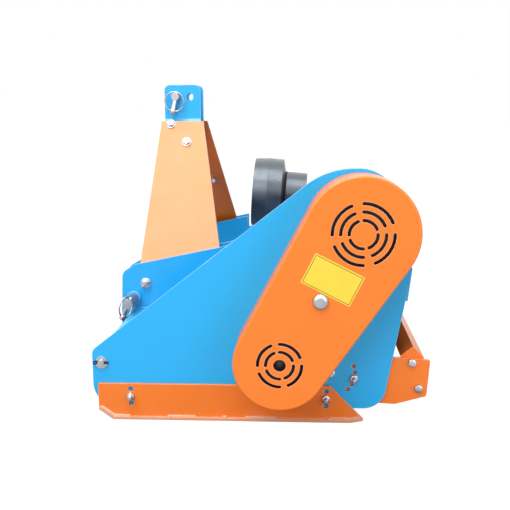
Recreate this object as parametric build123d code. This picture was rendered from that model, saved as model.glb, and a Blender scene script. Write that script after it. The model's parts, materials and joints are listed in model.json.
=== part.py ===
from build123d import *
import os
from math import atan2, cos, degrees, hypot, radians, sin, tan

# Flail mulcher for a three-point hitch, with a side belt drive. Millimetres.
# X runs from the tractor to the rear with 0 at the rotor's axis, Y runs across from the
# belt side to the far side with 0 at the middle, Z is height above the ground.
# Outlines in the side view are rows of (X, Z, corner radius).

# Width and plates
INNER_WIDTH = 1068.0
SIDE_THICK = 6.0
HOOD_THICK = 4.0
GROUND_GAP = 27.0

# Rotor and flails
ROTOR_Z = 143.8
TIP_RADIUS = 117.0
PIN_CIRCLE_RADIUS = 66.0
TUBE_RADIUS = 44.5
TUBE_WALL = 8.0
TUBE_END_GAP = 12.0
END_DISC_THICK = 12.0
SHAFT_RADIUS = 17.5
SHAFT_GAP = 0.05
SHAFT_FLOAT = 0.5
FLAIL_COUNT = 20
FLAIL_TURN = 126.0
FLAIL_WIDTH = 42.0
FLAIL_HEAD_DEPTH = 30.0
FLAIL_HEAD_LENGTH = 24.0
FLAIL_SHANK = 16.0
FLAIL_SHANK_DEPTH = 18.0
FLAIL_SIDE_GAP = 0.8
FLAIL_SCOOP_RADIUS = 26.0
FLAIL_SCOOP_DEPTH = 10.0
FLAIL_SCOOP_DROP = 8.0
FLAIL_PIN_RADIUS = 7.0
FLAIL_PIN_GAP = 0.2
FLAIL_EYE_RADIUS = 13.0
LUG_THICK = 6.0
LUG_HALF_BASE = 20.0

# Belt drive
DRIVE_X = 152.3
DRIVE_Z = 391.6
ROTOR_PULLEY_RADIUS = 63.0
DRIVE_PULLEY_RADIUS = 81.0
PULLEY_STANDOFF = 22.0
PULLEY_EDGE = 4.0
BELT_COUNT = 3
BELT_PITCH = 16.0
BELT_WIDTH = 11.0
BELT_DEPTH = 9.0
BELT_GAP = 0.4
CROSS_SHAFT_RADIUS = 15.0
CROSS_TUBE_RADIUS = 38.0
CROSS_TUBE_WALL = 6.0
CROSS_FLANGE_RADIUS = 55.0
CROSS_FLANGE_THICK = 8.0
CROSS_BEARING_THICK = 18.0

# Belt cover
COVER_LOW_RADIUS = 89.0
COVER_TOP_RADIUS = 106.0
COVER_DEPTH = 95.0
COVER_SHEET = 2.0
COVER_EDGE_RADIUS = 4.0
COVER_SEAT_GAP = 0.5
COVER_NOTCH_GAP = 2.0
STUD_X = 75.5
STUD_Z = 267.8
STUD_RADIUS = 8.0
STUD_SPACER_RADIUS = 13.0
STUD_DOME_RADIUS = 15.0
STUD_DOME_HEIGHT = 11.0
STUD_RIM_HEIGHT = 3.0
VENT_COUNT = 4
VENT_WIDTH = 6.2
VENT_BRIDGE_ANGLE = 23.0
VENT_TOP_RADII = (26.0, 41.3, 56.5)
VENT_LOW_RADII = (26.1, 41.4)
VENT_EYE_RADIUS = 11.8

# Side plates
SIDE_FRONT_X = -381.0
SIDE_NOSE_Z = 141.3
SIDE_SLOPE = 37.74
SIDE_TOP_Z = 504.8
SIDE_TOP_LENGTH = 124.8
SIDE_TOP_FLAT = 8.0
SIDE_TOP_RADIUS = 80.0
FAR_KNEE_RADIUS = 100.0
SIDE_NOSE_RADIUS = 16.0
SIDE_BOTTOM_RADIUS = 45.0
SIDE_BOTTOM_REAR_X = 200.7
SIDE_REAR_INSET = 1.2
FAR_EDGE_HEIGHT = 20.0

# Hood and the square tube at its front
HOOD_KNEE_X = -118.0
HOOD_KNEE_Z = 232.0
HOOD_DECK_X = 30.0
HOOD_REAR_X = 255.2
HOOD_REAR_Z = 309.2
HOOD_TAIL_X = 247.2
HOOD_TAIL_Z = 245.7
DECK_TILT = 4.5
BEAM_FRONT_X = -342.0
BEAM_BOTTOM_Z = 133.5
BEAM_SIZE = 36.0
BEAM_WALL = 4.0
HOOD_START_RISE = 26.0

# Rear curtain of rubber
CURTAIN_THICK = 5.0
CURTAIN_DROP = 90.0
CURTAIN_LAP = 28.0
CURTAIN_END_GAP = 14.0
CURTAIN_SEAT_GAP = 0.3

# Skids
SKID_THICK = 6.0
SKID_TOP_Z = 74.0
SKID_FRONT_X = -369.7
SKID_TOE_X = -339.7
SKID_TOE_Z = 21.5
SKID_HEEL_X = 138.0
SKID_TAIL_X = 164.0
SKID_TAIL_Z = 5.0
SKID_SHOULDER_X = 97.5
SKID_SOLE_WIDTH = 58.0
SKID_SOLE_PROUD = 5.0
SKID_TIP_THICK = 1.5
SKID_CORNER_X = 130.0
SKID_HOLE_RADIUS = 5.3
SKID_HOLE_X = (-303.0, 89.8)
SKID_HOLE_Z = (33.1, 48.4, 63.4)

# Rear brackets and bar
BRACKET_THICK = 6.0
BRACKET_CORNERS = (
    (69.0, 78.0, 20.0),
    (69.0, 143.0, 20.0),
    (295.0, 126.8, 4.0),
    (289.0, 52.0, 4.0),
    (227.0, 35.0, 12.0),
    (190.0, 37.0, 20.0),
)
PIVOT_X = 99.0
PIVOT_Z = 100.0
PIVOT_HOLE_RADIUS = 5.3
ADJUST_RADIUS = 47.3
ADJUST_STEP = 15.6
ADJUST_FIRST = -44.2
ADJUST_COUNT = 5
ADJUST_HOLE_RADIUS = 4.4
RIDGE_X = 261.5
RIDGE_Z = 153.1
BAR_LEG = 32.5
BAR_SPREAD = 93.5
BAR_LEAN = -3.5
BAR_THICK = 4.0
BAR_END_THICK = 6.0
BAR_END_CORNERS = ((16.0, 8.0), (8.0, -14.0), (-18.0, -8.0))
BAR_BOLTS = ((259.0, 121.3), (272.8, 68.7))
BAR_HOLE_RADIUS = 5.3

# Front flaps and the rod that they hang on
ROD_X = -362.0
ROD_Z = 116.5
ROD_RADIUS = 6.5
ROD_PROUD = 9.0
WASHER_RADIUS = 12.5
WASHER_THICK = 2.5
FLAP_COUNT = 13
FLAP_SPACE = 4.0
FLAP_THICK = 4.0
FLAP_DROP = 84.0
FLAP_EYE_WALL = 3.5
FLAP_ROD_GAP = 0.1

# Lower link brackets and their pins
LINK_THICK = 8.0
LINK_OUTER_Y = 296.0
LINK_INNER_Y = 235.0
LINK_FRONT_X = -375.0
LINK_FRONT_LEAN = 5.0
LINK_SHOULDER_Z = 254.0
LINK_TOP_X = -340.0
LINK_TOP_Z = 271.4
LINK_CORNER = 22.0
LINK_REAR_X = -118.0
LINK_REAR_Z = 317.7
LINK_PIN_X = -343.7
LINK_PIN_Z = 195.5
LINK_PIN_RADIUS = 11.0
LINK_PIN_TIP_Y = 370.0
LINK_COLLAR_RADIUS = 15.0
LINK_COLLAR_THICK = 10.0
PIN_GAP = 0.1

# Cross holes for linch pins
LINCH_HOLE_RADIUS = 5.3
LINCH_FROM_TIP = 14.0
LINCH_LEAN = 20.0
TOP_LINCH_LEAN = 13.0

# Mast: legs and the head with its top link pin
MAST_THICK = 8.0
MAST_TOP_Z = 592.0
MAST_BEND_Z = 262.0
MAST_TAB_Z = 206.0
MAST_FRONT_X = (-331.0, -313.3)
MAST_REAR_X = (-141.0, -208.7)
MAST_TAB_CUT = 30.0
MAST_CORNER = 10.0
HEAD_THICK = 7.0
HEAD_OUTER_Y = 33.0
HEAD_FRONT_X = -307.0
HEAD_REAR_X = -217.0
HEAD_RISE = 89.8
HEAD_BEND_RISE = 6.0
HEAD_TAIL = 78.0
HEAD_CORNER = 13.0
TOP_HOLE_DROP = 29.6
TOP_PIN_INSET = 29.8
TOP_FREE_INSET = 27.2
TOP_HOLE_RADIUS = 9.75
TOP_PIN_RADIUS = 9.5
TOP_PIN_TIP_Y = 58.0
TOP_COLLAR_RADIUS = 14.0
TOP_COLLAR_THICK = 8.0

# Gearbox, its input shaft and the guard round it; lengths run along the tilted shaft
BOX_LENGTH = 124.0
BOX_WIDTH = 112.0
BOX_HEIGHT = 112.0
BOX_CORNER = 14.0
BOX_NOSE = 116.0
BOX_NOSE_RADIUS = 30.0
BOX_SIDE_BOSS = 6.0
BOX_SIDE_RIM = 10.0
BOX_FOOT_LENGTH = 128.0
BOX_FOOT_WIDTH = 150.0
STUB_RADIUS = 17.4
STUB_ROOT_RADIUS = 14.8
STUB_SPLINES = 6
STUB_SPLINE_WIDTH = 8.6
STUB_SPLINE_LENGTH = 76.0
STUB_TIP = 205.0
INPUT_SHAFT_RADIUS = 20.0
INPUT_BORE_DEPTH = 40.0
GUARD_NECK_RADIUS = 57.5
GUARD_DRUM_RADIUS = 88.5
GUARD_SEAM_RADIUS = 89.0
GUARD_MOUTH_RADIUS = 86.0
GUARD_WALL = 4.0
GUARD_REAR = 104.0
GUARD_TAPER = 7.0
GUARD_STEP = 166.0
GUARD_SEAM = 202.0
GUARD_MOUTH = 238.0
GUARD_SEAT_GAP = 0.3

# Rotor bearing housings
BEARING_RADIUS = 50.0
BEARING_THICK = 14.0
BEARING_CAP_RADIUS = 34.0
BEARING_CAP_THICK = 28.0
SHAFT_END_GAP = 6.0
PASSAGE_RADIUS = 24.0

SIDE_INNER_Y = INNER_WIDTH / 2
SIDE_OUTER_Y = SIDE_INNER_Y + SIDE_THICK
SKID_OUTER_Y = SIDE_OUTER_Y + SKID_THICK
PULLEY_INNER_Y = SIDE_OUTER_Y + PULLEY_STANDOFF
COVER_FACE_Y = SIDE_OUTER_Y + COVER_DEPTH
HEAD_BEND_Z = MAST_TOP_Z + HEAD_BEND_RISE
HEAD_TOP_Z = MAST_TOP_Z + HEAD_RISE
TOP_HOLE_Z = HEAD_TOP_Z - TOP_HOLE_DROP
TOP_PIN_X = HEAD_FRONT_X + TOP_PIN_INSET
TOP_FREE_X = HEAD_REAR_X - TOP_FREE_INSET
CROSS_START_Y = BOX_WIDTH / 2 + BOX_SIDE_BOSS
NODES = {}


def side_plane(y):
    """Sketch plane across the machine at Y, with X to the right and Z up."""
    return Plane(origin=(0, y, 0), x_dir=(1, 0, 0), z_dir=(0, -1, 0))


def outline(rows):
    """Closed face from (X, Z, corner radius) rows."""
    points = [(x, z) for x, z, _ in rows]
    return make_face(FilletPolyline(*points, radius=[r for _, _, r in rows], close=True))


def slab(face, y_low, y_high):
    """Side-view face made a plate from y_low to y_high."""
    return extrude(side_plane(y_high) * face, amount=y_high - y_low)


def disc(x, z, radius):
    """Round face in the side view."""
    return Pos(x, z) * Circle(radius)


def rod(x, z, radius, y_low, y_high):
    """Round bar along Y."""
    return slab(disc(x, z, radius), y_low, y_high)


def tube(x, z, outer, inner, y_low, y_high):
    """Round tube along Y."""
    return slab(disc(x, z, outer) - disc(x, z, inner), y_low, y_high)


def other_side(shape):
    """The same piece on the far side of the middle plane."""
    return mirror(shape, about=Plane.XZ)


def shifted(start, end, depth):
    """A line's two (X, Z) points moved by depth to the right of its way."""
    length = hypot(end[0] - start[0], end[1] - start[1])
    right = ((end[1] - start[1]) / length, -(end[0] - start[0]) / length)
    return [(x + depth * right[0], z + depth * right[1]) for x, z in (start, end)]


def crossing(first, second):
    """Point where two lines, each a pair of (X, Z) points, cross."""
    (ax, az), (bx, bz) = first
    (cx, cz), (dx, dz) = second
    across = (bx - ax) * (dz - cz) - (bz - az) * (dx - cx)
    share = ((cx - ax) * (dz - cz) - (cz - az) * (dx - cx)) / across
    return ax + share * (bx - ax), az + share * (bz - az)


def sheet_line(points, depth):
    """A bent line moved by depth to the right of its way, with sharp bends."""
    runs = [shifted(a, b, depth) for a, b in zip(points, points[1:])]
    bends = [crossing(a, b) for a, b in zip(runs, runs[1:])]
    return [runs[0][0], *bends, runs[-1][1]]


def bent_sheet(points, depth):
    """Face of a sheet of that depth along a bent line."""
    return make_face(Polyline(*points, *reversed(sheet_line(points, depth)), close=True))


# Hood line: the outer surface from the front beam over the knee and deck to the tail.
BEAM_REAR_X = BEAM_FRONT_X + BEAM_SIZE
BEAM_TOP_Z = BEAM_BOTTOM_Z + BEAM_SIZE
DECK_Z = HOOD_REAR_Z + (HOOD_REAR_X - HOOD_DECK_X) * tan(radians(DECK_TILT))
HOOD_START = (BEAM_REAR_X, BEAM_BOTTOM_Z + HOOD_START_RISE)
HOOD_KNEE = (HOOD_KNEE_X, HOOD_KNEE_Z)
HOOD_DECK = (HOOD_DECK_X, DECK_Z)
HOOD_REAR = (HOOD_REAR_X, HOOD_REAR_Z)
HOOD_TAIL = (HOOD_TAIL_X, HOOD_TAIL_Z)
HOOD_LINE = [HOOD_START, HOOD_KNEE, HOOD_DECK, HOOD_REAR, HOOD_TAIL]


def hood_height(x):
    """Height of the hood's front or slope at x."""
    near, next_bend = (HOOD_START, HOOD_KNEE) if x <= HOOD_KNEE_X else (HOOD_KNEE, HOOD_DECK)
    share = (x - near[0]) / (next_bend[0] - near[0])
    return near[1] + share * (next_bend[1] - near[1])


def hood_panel(index):
    """One flat panel, mitred at its bends."""
    inner = sheet_line(HOOD_LINE, HOOD_THICK)
    quad = [HOOD_LINE[index], HOOD_LINE[index + 1], inner[index + 1], inner[index]]
    return slab(make_face(Polyline(*quad, close=True)), -SIDE_INNER_Y, SIDE_INNER_Y)


for i, name in enumerate(("hood_front", "hood_slope", "hood_deck", "hood_rear")):
    NODES[name] = hood_panel(i)


def front_beam():
    """Square tube between the side plates, which carries the link brackets."""
    middle = (BEAM_FRONT_X + BEAM_SIZE / 2, BEAM_BOTTOM_Z + BEAM_SIZE / 2)
    hollow = BEAM_SIZE - 2 * BEAM_WALL
    face = Rectangle(BEAM_SIZE, BEAM_SIZE) - Rectangle(hollow, hollow)
    return slab(Pos(*middle) * face, -SIDE_INNER_Y, SIDE_INNER_Y)


NODES["front_beam"] = front_beam()


# Side plates. The belt side rises to carry the drive, the far side follows the hood.
REAR_CORNER = (HOOD_REAR_X - SIDE_REAR_INSET, HOOD_REAR_Z, 0)
ADJUST_ANGLES = [ADJUST_FIRST + i * ADJUST_STEP for i in range(ADJUST_COUNT)]
ADJUST_HOLES = [
    (PIVOT_X + ADJUST_RADIUS * cos(radians(a)), PIVOT_Z + ADJUST_RADIUS * sin(radians(a)))
    for a in ADJUST_ANGLES
]


def side_holes():
    """Holes that both side plates have, as one face to take away."""
    holes = [disc(0, ROTOR_Z, PASSAGE_RADIUS), disc(ROD_X, ROD_Z, ROD_RADIUS + PIN_GAP)]
    holes += [disc(PIVOT_X, PIVOT_Z, PIVOT_HOLE_RADIUS)]
    holes += [disc(x, z, ADJUST_HOLE_RADIUS) for x, z in ADJUST_HOLES]
    holes += [disc(x, SKID_HOLE_Z[1], SKID_HOLE_RADIUS) for x in SKID_HOLE_X]
    return Sketch() + holes


def side_plate_belt():
    front_x = SIDE_FRONT_X + (SIDE_TOP_Z - SIDE_NOSE_Z) / tan(radians(SIDE_SLOPE))
    rear_x = front_x + SIDE_TOP_LENGTH
    rear_turn = atan2(SIDE_TOP_Z - REAR_CORNER[1], REAR_CORNER[0] - rear_x)
    front_reach = SIDE_TOP_LENGTH - SIDE_TOP_FLAT - SIDE_TOP_RADIUS * tan(rear_turn / 2)
    face = outline([
        (SIDE_FRONT_X, GROUND_GAP, SIDE_BOTTOM_RADIUS),
        (SIDE_FRONT_X, SIDE_NOSE_Z, SIDE_NOSE_RADIUS),
        (front_x, SIDE_TOP_Z, front_reach / tan(radians(SIDE_SLOPE / 2))),
        (rear_x, SIDE_TOP_Z, SIDE_TOP_RADIUS),
        REAR_CORNER,
        (SIDE_BOTTOM_REAR_X, GROUND_GAP, SIDE_BOTTOM_RADIUS),
    ])
    face -= side_holes()
    face -= disc(DRIVE_X, DRIVE_Z, PASSAGE_RADIUS)
    face -= disc(STUD_X, STUD_Z, STUD_RADIUS + PIN_GAP)
    return slab(face, -SIDE_OUTER_Y, -SIDE_INNER_Y)


def side_plate_far():
    face = outline([
        (SIDE_FRONT_X, GROUND_GAP, SIDE_BOTTOM_RADIUS),
        (SIDE_FRONT_X, SIDE_NOSE_Z, SIDE_NOSE_RADIUS),
        (HOOD_KNEE_X, HOOD_KNEE_Z + FAR_EDGE_HEIGHT, FAR_KNEE_RADIUS),
        (HOOD_DECK_X, DECK_Z + FAR_EDGE_HEIGHT, SIDE_TOP_RADIUS),
        (HOOD_REAR_X - SIDE_REAR_INSET, HOOD_REAR_Z + FAR_EDGE_HEIGHT, SIDE_NOSE_RADIUS),
        REAR_CORNER,
        (SIDE_BOTTOM_REAR_X, GROUND_GAP, SIDE_BOTTOM_RADIUS),
    ])
    return slab(face - side_holes(), SIDE_INNER_Y, SIDE_OUTER_Y)


NODES["side_plate_belt"] = side_plate_belt()
NODES["side_plate_far"] = side_plate_far()


# Skids: an upright plate on the side plate and a sole with its toe turned up.
def skid():
    sole_line = [
        (SKID_FRONT_X, SKID_TOE_Z),
        (SKID_TOE_X, 0),
        (SKID_HEEL_X, 0),
        (SKID_TAIL_X, SKID_TAIL_Z),
    ]
    upright = outline([
        (SKID_FRONT_X, SKID_TOE_Z, 0),
        (SKID_FRONT_X, SKID_TOP_Z, 0),
        (SKID_SHOULDER_X, SKID_TOP_Z, 0),
        (SKID_TAIL_X, SKID_TAIL_Z + SKID_TIP_THICK, 0),
        (SKID_TAIL_X, SKID_TAIL_Z, 0),
        (SKID_HEEL_X, 0, 0),
        (SKID_TOE_X, 0, 0),
    ])
    holes = [disc(x, z, SKID_HOLE_RADIUS) for x in SKID_HOLE_X for z in SKID_HOLE_Z]
    low_y = -(SKID_OUTER_Y + SKID_SOLE_PROUD)
    high_y = low_y + SKID_SOLE_WIDTH
    sole = slab(bent_sheet(sole_line, -SKID_THICK), low_y, high_y)
    behind_tail = make_face(Polyline(
        (SKID_SHOULDER_X, SKID_TOP_Z),
        (SKID_TAIL_X, SKID_TAIL_Z + SKID_TIP_THICK),
        (SKID_TAIL_X, SKID_TOP_Z),
        close=True,
    ))
    sole -= slab(behind_tail, low_y, high_y)
    inner_corner = make_face(Polyline(
        (SKID_CORNER_X, high_y),
        (SKID_TAIL_X, high_y),
        (SKID_TAIL_X, -SKID_OUTER_Y),
        close=True,
    ))
    sole -= extrude(inner_corner, amount=SKID_TOP_Z)
    return slab(upright - holes, -SKID_OUTER_Y, -SIDE_OUTER_Y) + sole


NODES["skid_belt"] = skid()
NODES["skid_far"] = other_side(NODES["skid_belt"])


# Rear brackets inside the side plates, and the folded bar bolted between them.
def rear_bracket():
    face = outline(BRACKET_CORNERS)
    face -= disc(PIVOT_X, PIVOT_Z, PIVOT_HOLE_RADIUS)
    face -= disc(*ADJUST_HOLES[len(ADJUST_HOLES) // 2], ADJUST_HOLE_RADIUS)
    face -= [disc(x, z, BAR_HOLE_RADIUS) for x, z in BAR_BOLTS]
    return slab(face, -SIDE_INNER_Y, -(SIDE_INNER_Y - BRACKET_THICK))


BAR_END_Y = SIDE_INNER_Y - BRACKET_THICK


def rear_bar():
    turns = [radians(BAR_LEAN + side * BAR_SPREAD / 2) for side in (-1, 1)]
    feet = [(RIDGE_X + BAR_LEG * sin(turn), RIDGE_Z - BAR_LEG * cos(turn)) for turn in turns]
    folded = bent_sheet([feet[0], (RIDGE_X, RIDGE_Z), feet[1]], BAR_THICK)
    inner = sheet_line([feet[0], (RIDGE_X, RIDGE_Z), feet[1]], BAR_THICK)
    lower_x, lower_z = BAR_BOLTS[-1]
    corners = [(lower_x + x, lower_z + z) for x, z in BAR_END_CORNERS]
    end_face = make_face(Polyline(*inner, *corners, close=True))
    end_face -= [disc(x, z, BAR_HOLE_RADIUS) for x, z in BAR_BOLTS]
    bar = slab(folded, -BAR_END_Y, BAR_END_Y)
    near_end = slab(end_face, -BAR_END_Y, -BAR_END_Y + BAR_END_THICK)
    return bar + near_end + other_side(near_end)


NODES["rear_bracket_belt"] = rear_bracket()
NODES["rear_bracket_far"] = other_side(NODES["rear_bracket_belt"])
NODES["rear_bar"] = rear_bar()


# Rubber curtain that hangs inside the hood's tail.
def rear_curtain():
    hood_inner = sheet_line(HOOD_LINE, HOOD_THICK)
    slope = (hood_inner[-1][0] - hood_inner[-2][0]) / (hood_inner[-1][1] - hood_inner[-2][1])
    top_z = HOOD_TAIL_Z + CURTAIN_LAP
    bottom_z = top_z - CURTAIN_DROP
    rear_x = hood_inner[-1][0] - CURTAIN_SEAT_GAP
    rows = [(rear_x + slope * (z - HOOD_TAIL_Z), z) for z in (top_z, bottom_z)]
    face = bent_sheet(rows, CURTAIN_THICK)
    half_width = SIDE_INNER_Y - CURTAIN_END_GAP
    return slab(face, -half_width, half_width)


NODES["rear_curtain"] = rear_curtain()


# Lower link brackets, welded on the beam and the hood, two plates a side.
def link_plate(outer_y):
    rear_foot = hood_height(LINK_REAR_X)
    face = outline([
        (LINK_FRONT_X, BEAM_BOTTOM_Z, 0),
        (LINK_FRONT_X + LINK_FRONT_LEAN, LINK_SHOULDER_Z, LINK_CORNER),
        (LINK_TOP_X, LINK_TOP_Z, LINK_CORNER),
        (LINK_REAR_X, LINK_REAR_Z, 0),
        (LINK_REAR_X, rear_foot, 0),
        (*HOOD_START, 0),
        (BEAM_REAR_X, BEAM_TOP_Z, 0),
        (BEAM_FRONT_X, BEAM_TOP_Z, 0),
        (BEAM_FRONT_X, BEAM_BOTTOM_Z, 0),
    ])
    face -= disc(LINK_PIN_X, LINK_PIN_Z, LINK_PIN_RADIUS + PIN_GAP)
    return slab(face, -outer_y, -outer_y + LINK_THICK)


for label, outer_y in (("outer", LINK_OUTER_Y), ("inner", LINK_INNER_Y)):
    NODES[f"link_plate_{label}_belt"] = link_plate(outer_y)
    NODES[f"link_plate_{label}_far"] = other_side(link_plate(outer_y))


LOW = (Align.CENTER, Align.CENTER, Align.MIN)


def cross_hole(x, z, tip_y, pin_radius, lean):
    """Hole through a pin for its linch pin."""
    hole = Cylinder(LINCH_HOLE_RADIUS, 4 * pin_radius)
    return Pos(x, -(tip_y - LINCH_FROM_TIP), z) * Rot(0, lean, 0) * hole


def link_pin():
    """Pin through both link plates, with a collar against each plate's outer face."""
    inner_y = LINK_INNER_Y - LINK_THICK - LINK_COLLAR_THICK
    body = rod(LINK_PIN_X, LINK_PIN_Z, LINK_PIN_RADIUS, -LINK_PIN_TIP_Y, -inner_y)
    for low in (LINK_OUTER_Y, inner_y):
        body += rod(LINK_PIN_X, LINK_PIN_Z, LINK_COLLAR_RADIUS, -low - LINK_COLLAR_THICK, -low)
    return body - cross_hole(
        LINK_PIN_X, LINK_PIN_Z, LINK_PIN_TIP_Y, LINK_PIN_RADIUS, LINCH_LEAN
    )


NODES["link_pin_belt"] = link_pin()
NODES["link_pin_far"] = other_side(link_pin())

# Mast. Each leg is a bent plate: an upright tab inside the outer link plate, then a
# slanting plate up to the head, whose ears bend outwards along the legs' inner faces.
TAB_INNER_Y = LINK_OUTER_Y - LINK_THICK - MAST_THICK
MAST_ANGLE = atan2(TAB_INNER_Y - HEAD_OUTER_Y, HEAD_BEND_Z - MAST_BEND_Z)


def bent_across(line, depth, side_face):
    """Sheet along a bent line of (distance from the middle, Z), cut to its side view."""
    reach = SIDE_INNER_Y
    plane = Plane(origin=(reach, 0, 0), x_dir=(0, -1, 0), z_dir=(-1, 0, 0))
    sheet = extrude(plane * bent_sheet(line, depth), amount=2 * reach)
    return sheet & slab(side_face, -reach, 0)


def mast_leg():
    face = outline([
        (MAST_FRONT_X[0], MAST_TAB_Z, MAST_CORNER),
        (MAST_FRONT_X[0], MAST_BEND_Z, 0),
        (MAST_FRONT_X[1], MAST_TOP_Z, 0),
        (MAST_REAR_X[1], MAST_TOP_Z, 0),
        (MAST_REAR_X[0], MAST_BEND_Z, 0),
        (MAST_REAR_X[0] - MAST_TAB_CUT, MAST_TAB_Z + MAST_TAB_CUT, MAST_CORNER),
        (MAST_FRONT_X[0] + 3 * MAST_TAB_CUT, MAST_TAB_Z, MAST_CORNER),
    ])
    line = [(TAB_INNER_Y, MAST_TAB_Z), (TAB_INNER_Y, MAST_BEND_Z), (HEAD_OUTER_Y, HEAD_BEND_Z)]
    return bent_across(line, MAST_THICK, face)


def head_ear():
    tail_y = HEAD_OUTER_Y + HEAD_TAIL * sin(MAST_ANGLE)
    tail_z = HEAD_BEND_Z - HEAD_TAIL * cos(MAST_ANGLE)
    face = outline([
        (HEAD_FRONT_X, tail_z, HEAD_CORNER),
        (HEAD_FRONT_X, HEAD_TOP_Z, HEAD_CORNER),
        (HEAD_REAR_X, HEAD_TOP_Z, HEAD_CORNER),
        (HEAD_REAR_X, tail_z, HEAD_CORNER),
    ])
    face -= [disc(x, TOP_HOLE_Z, TOP_HOLE_RADIUS) for x in (TOP_PIN_X, TOP_FREE_X)]
    line = [(tail_y, tail_z), (HEAD_OUTER_Y, HEAD_BEND_Z), (HEAD_OUTER_Y, HEAD_TOP_Z)]
    return bent_across(line, -HEAD_THICK, face)


NODES["mast_leg_belt"] = mast_leg()
NODES["mast_leg_far"] = other_side(mast_leg())
NODES["mast_head_belt"] = head_ear()
NODES["mast_head_far"] = other_side(head_ear())


def top_pin():
    body = rod(TOP_PIN_X, TOP_HOLE_Z, TOP_PIN_RADIUS, -TOP_PIN_TIP_Y, HEAD_OUTER_Y)
    collar = rod(
        TOP_PIN_X, TOP_HOLE_Z, TOP_COLLAR_RADIUS,
        HEAD_OUTER_Y, HEAD_OUTER_Y + TOP_COLLAR_THICK,
    )
    return body + collar - cross_hole(
        TOP_PIN_X, TOP_HOLE_Z, TOP_PIN_TIP_Y, TOP_PIN_RADIUS, TOP_LINCH_LEAN
    )


NODES["top_pin"] = top_pin()

# Gearbox, in a frame at the drive axis that tilts with the deck, +X to the rear.
DRIVE_FRAME = Pos(DRIVE_X, 0, DRIVE_Z) * Rot(0, DECK_TILT, 0)
DECK_DEPTH = (
    (DRIVE_Z - HOOD_REAR_Z - (HOOD_REAR_X - DRIVE_X) * tan(radians(DECK_TILT)))
    * cos(radians(DECK_TILT))
)


def along(radius, low, high):
    """Round bar along the tilted shaft, from low to high in front of the drive axis."""
    return Rot(0, -90, 0) * Pos(0, 0, low) * Cylinder(radius, high - low, align=LOW)


def gearbox():
    body = Box(BOX_LENGTH, BOX_WIDTH, BOX_HEIGHT)
    body = fillet(body.edges(), BOX_CORNER)
    body += along(BOX_NOSE_RADIUS, 0, BOX_NOSE)
    body += Rot(90, 0, 0) * Cylinder(CROSS_TUBE_RADIUS + BOX_SIDE_RIM, CROSS_START_Y, align=LOW)
    body -= along(INPUT_SHAFT_RADIUS + SHAFT_GAP, BOX_NOSE - INPUT_BORE_DEPTH, BOX_NOSE)
    foot_height = DECK_DEPTH - BOX_HEIGHT / 2 + BOX_CORNER
    foot = Pos(0, 0, -DECK_DEPTH) * Box(
        BOX_FOOT_LENGTH, BOX_FOOT_WIDTH, foot_height, align=LOW
    )
    return DRIVE_FRAME * (body + foot)


def input_shaft():
    inner_end = BOX_NOSE - INPUT_BORE_DEPTH + SHAFT_FLOAT
    shaft = along(INPUT_SHAFT_RADIUS, inner_end, STUB_TIP - STUB_SPLINE_LENGTH)
    shaft += along(STUB_ROOT_RADIUS, STUB_TIP - STUB_SPLINE_LENGTH, STUB_TIP)
    key_align = (Align.MAX, Align.CENTER, Align.MIN)
    key = Box(STUB_SPLINE_LENGTH, STUB_SPLINE_WIDTH, STUB_RADIUS, align=key_align)
    key = Pos(STUB_SPLINE_LENGTH - STUB_TIP, 0, 0) * key
    for i in range(STUB_SPLINES):
        shaft += Rot(360 / STUB_SPLINES * i, 0, 0) * key
    return DRIVE_FRAME * shaft


def turned_sheet(rows):
    """Sheet of the guard's wall under a line of (distance in front, radius) rows."""
    face = bent_sheet([(-distance, radius) for distance, radius in rows], -GUARD_WALL)
    return revolve(side_plane(0) * face, axis=Axis.X)


def guard_neck():
    neck = turned_sheet([
        (GUARD_REAR, BOX_NOSE_RADIUS + GUARD_SEAT_GAP),
        (GUARD_REAR, GUARD_NECK_RADIUS),
        (GUARD_STEP - GUARD_TAPER, GUARD_NECK_RADIUS),
        (GUARD_STEP, GUARD_DRUM_RADIUS),
    ])
    return DRIVE_FRAME * (neck - along(GUARD_SEAM_RADIUS, GUARD_STEP, GUARD_SEAM))


def guard_drum():
    drum = turned_sheet([
        (GUARD_STEP, GUARD_DRUM_RADIUS),
        (GUARD_SEAM, GUARD_SEAM_RADIUS),
        (GUARD_MOUTH, GUARD_MOUTH_RADIUS),
    ])
    return DRIVE_FRAME * drum


NODES["gearbox"] = gearbox()
NODES["input_shaft"] = input_shaft()
NODES["guard_neck"] = guard_neck()
NODES["guard_drum"] = guard_drum()


# Cross shaft in its tube, from the gearbox to the belt side.
def cross_tube():
    body = tube(
        DRIVE_X, DRIVE_Z, CROSS_TUBE_RADIUS, CROSS_TUBE_RADIUS - CROSS_TUBE_WALL,
        -SIDE_INNER_Y, -CROSS_START_Y,
    )
    flange_y = -SIDE_INNER_Y + CROSS_FLANGE_THICK
    bore = CROSS_SHAFT_RADIUS + SHAFT_GAP
    body += tube(DRIVE_X, DRIVE_Z, CROSS_FLANGE_RADIUS, bore, -SIDE_INNER_Y, flange_y)
    for start in (-SIDE_INNER_Y, -CROSS_START_Y - CROSS_BEARING_THICK):
        body += tube(
            DRIVE_X, DRIVE_Z, CROSS_TUBE_RADIUS - CROSS_TUBE_WALL, bore,
            start, start + CROSS_BEARING_THICK,
        )
    return body


PULLEY_WIDTH = 2 * PULLEY_EDGE + BELT_WIDTH + (BELT_COUNT - 1) * BELT_PITCH
PULLEY_OUTER_Y = PULLEY_INNER_Y + PULLEY_WIDTH
BELT_CENTRES = [
    PULLEY_INNER_Y + PULLEY_EDGE + BELT_WIDTH / 2 + i * BELT_PITCH for i in range(BELT_COUNT)
]


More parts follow.
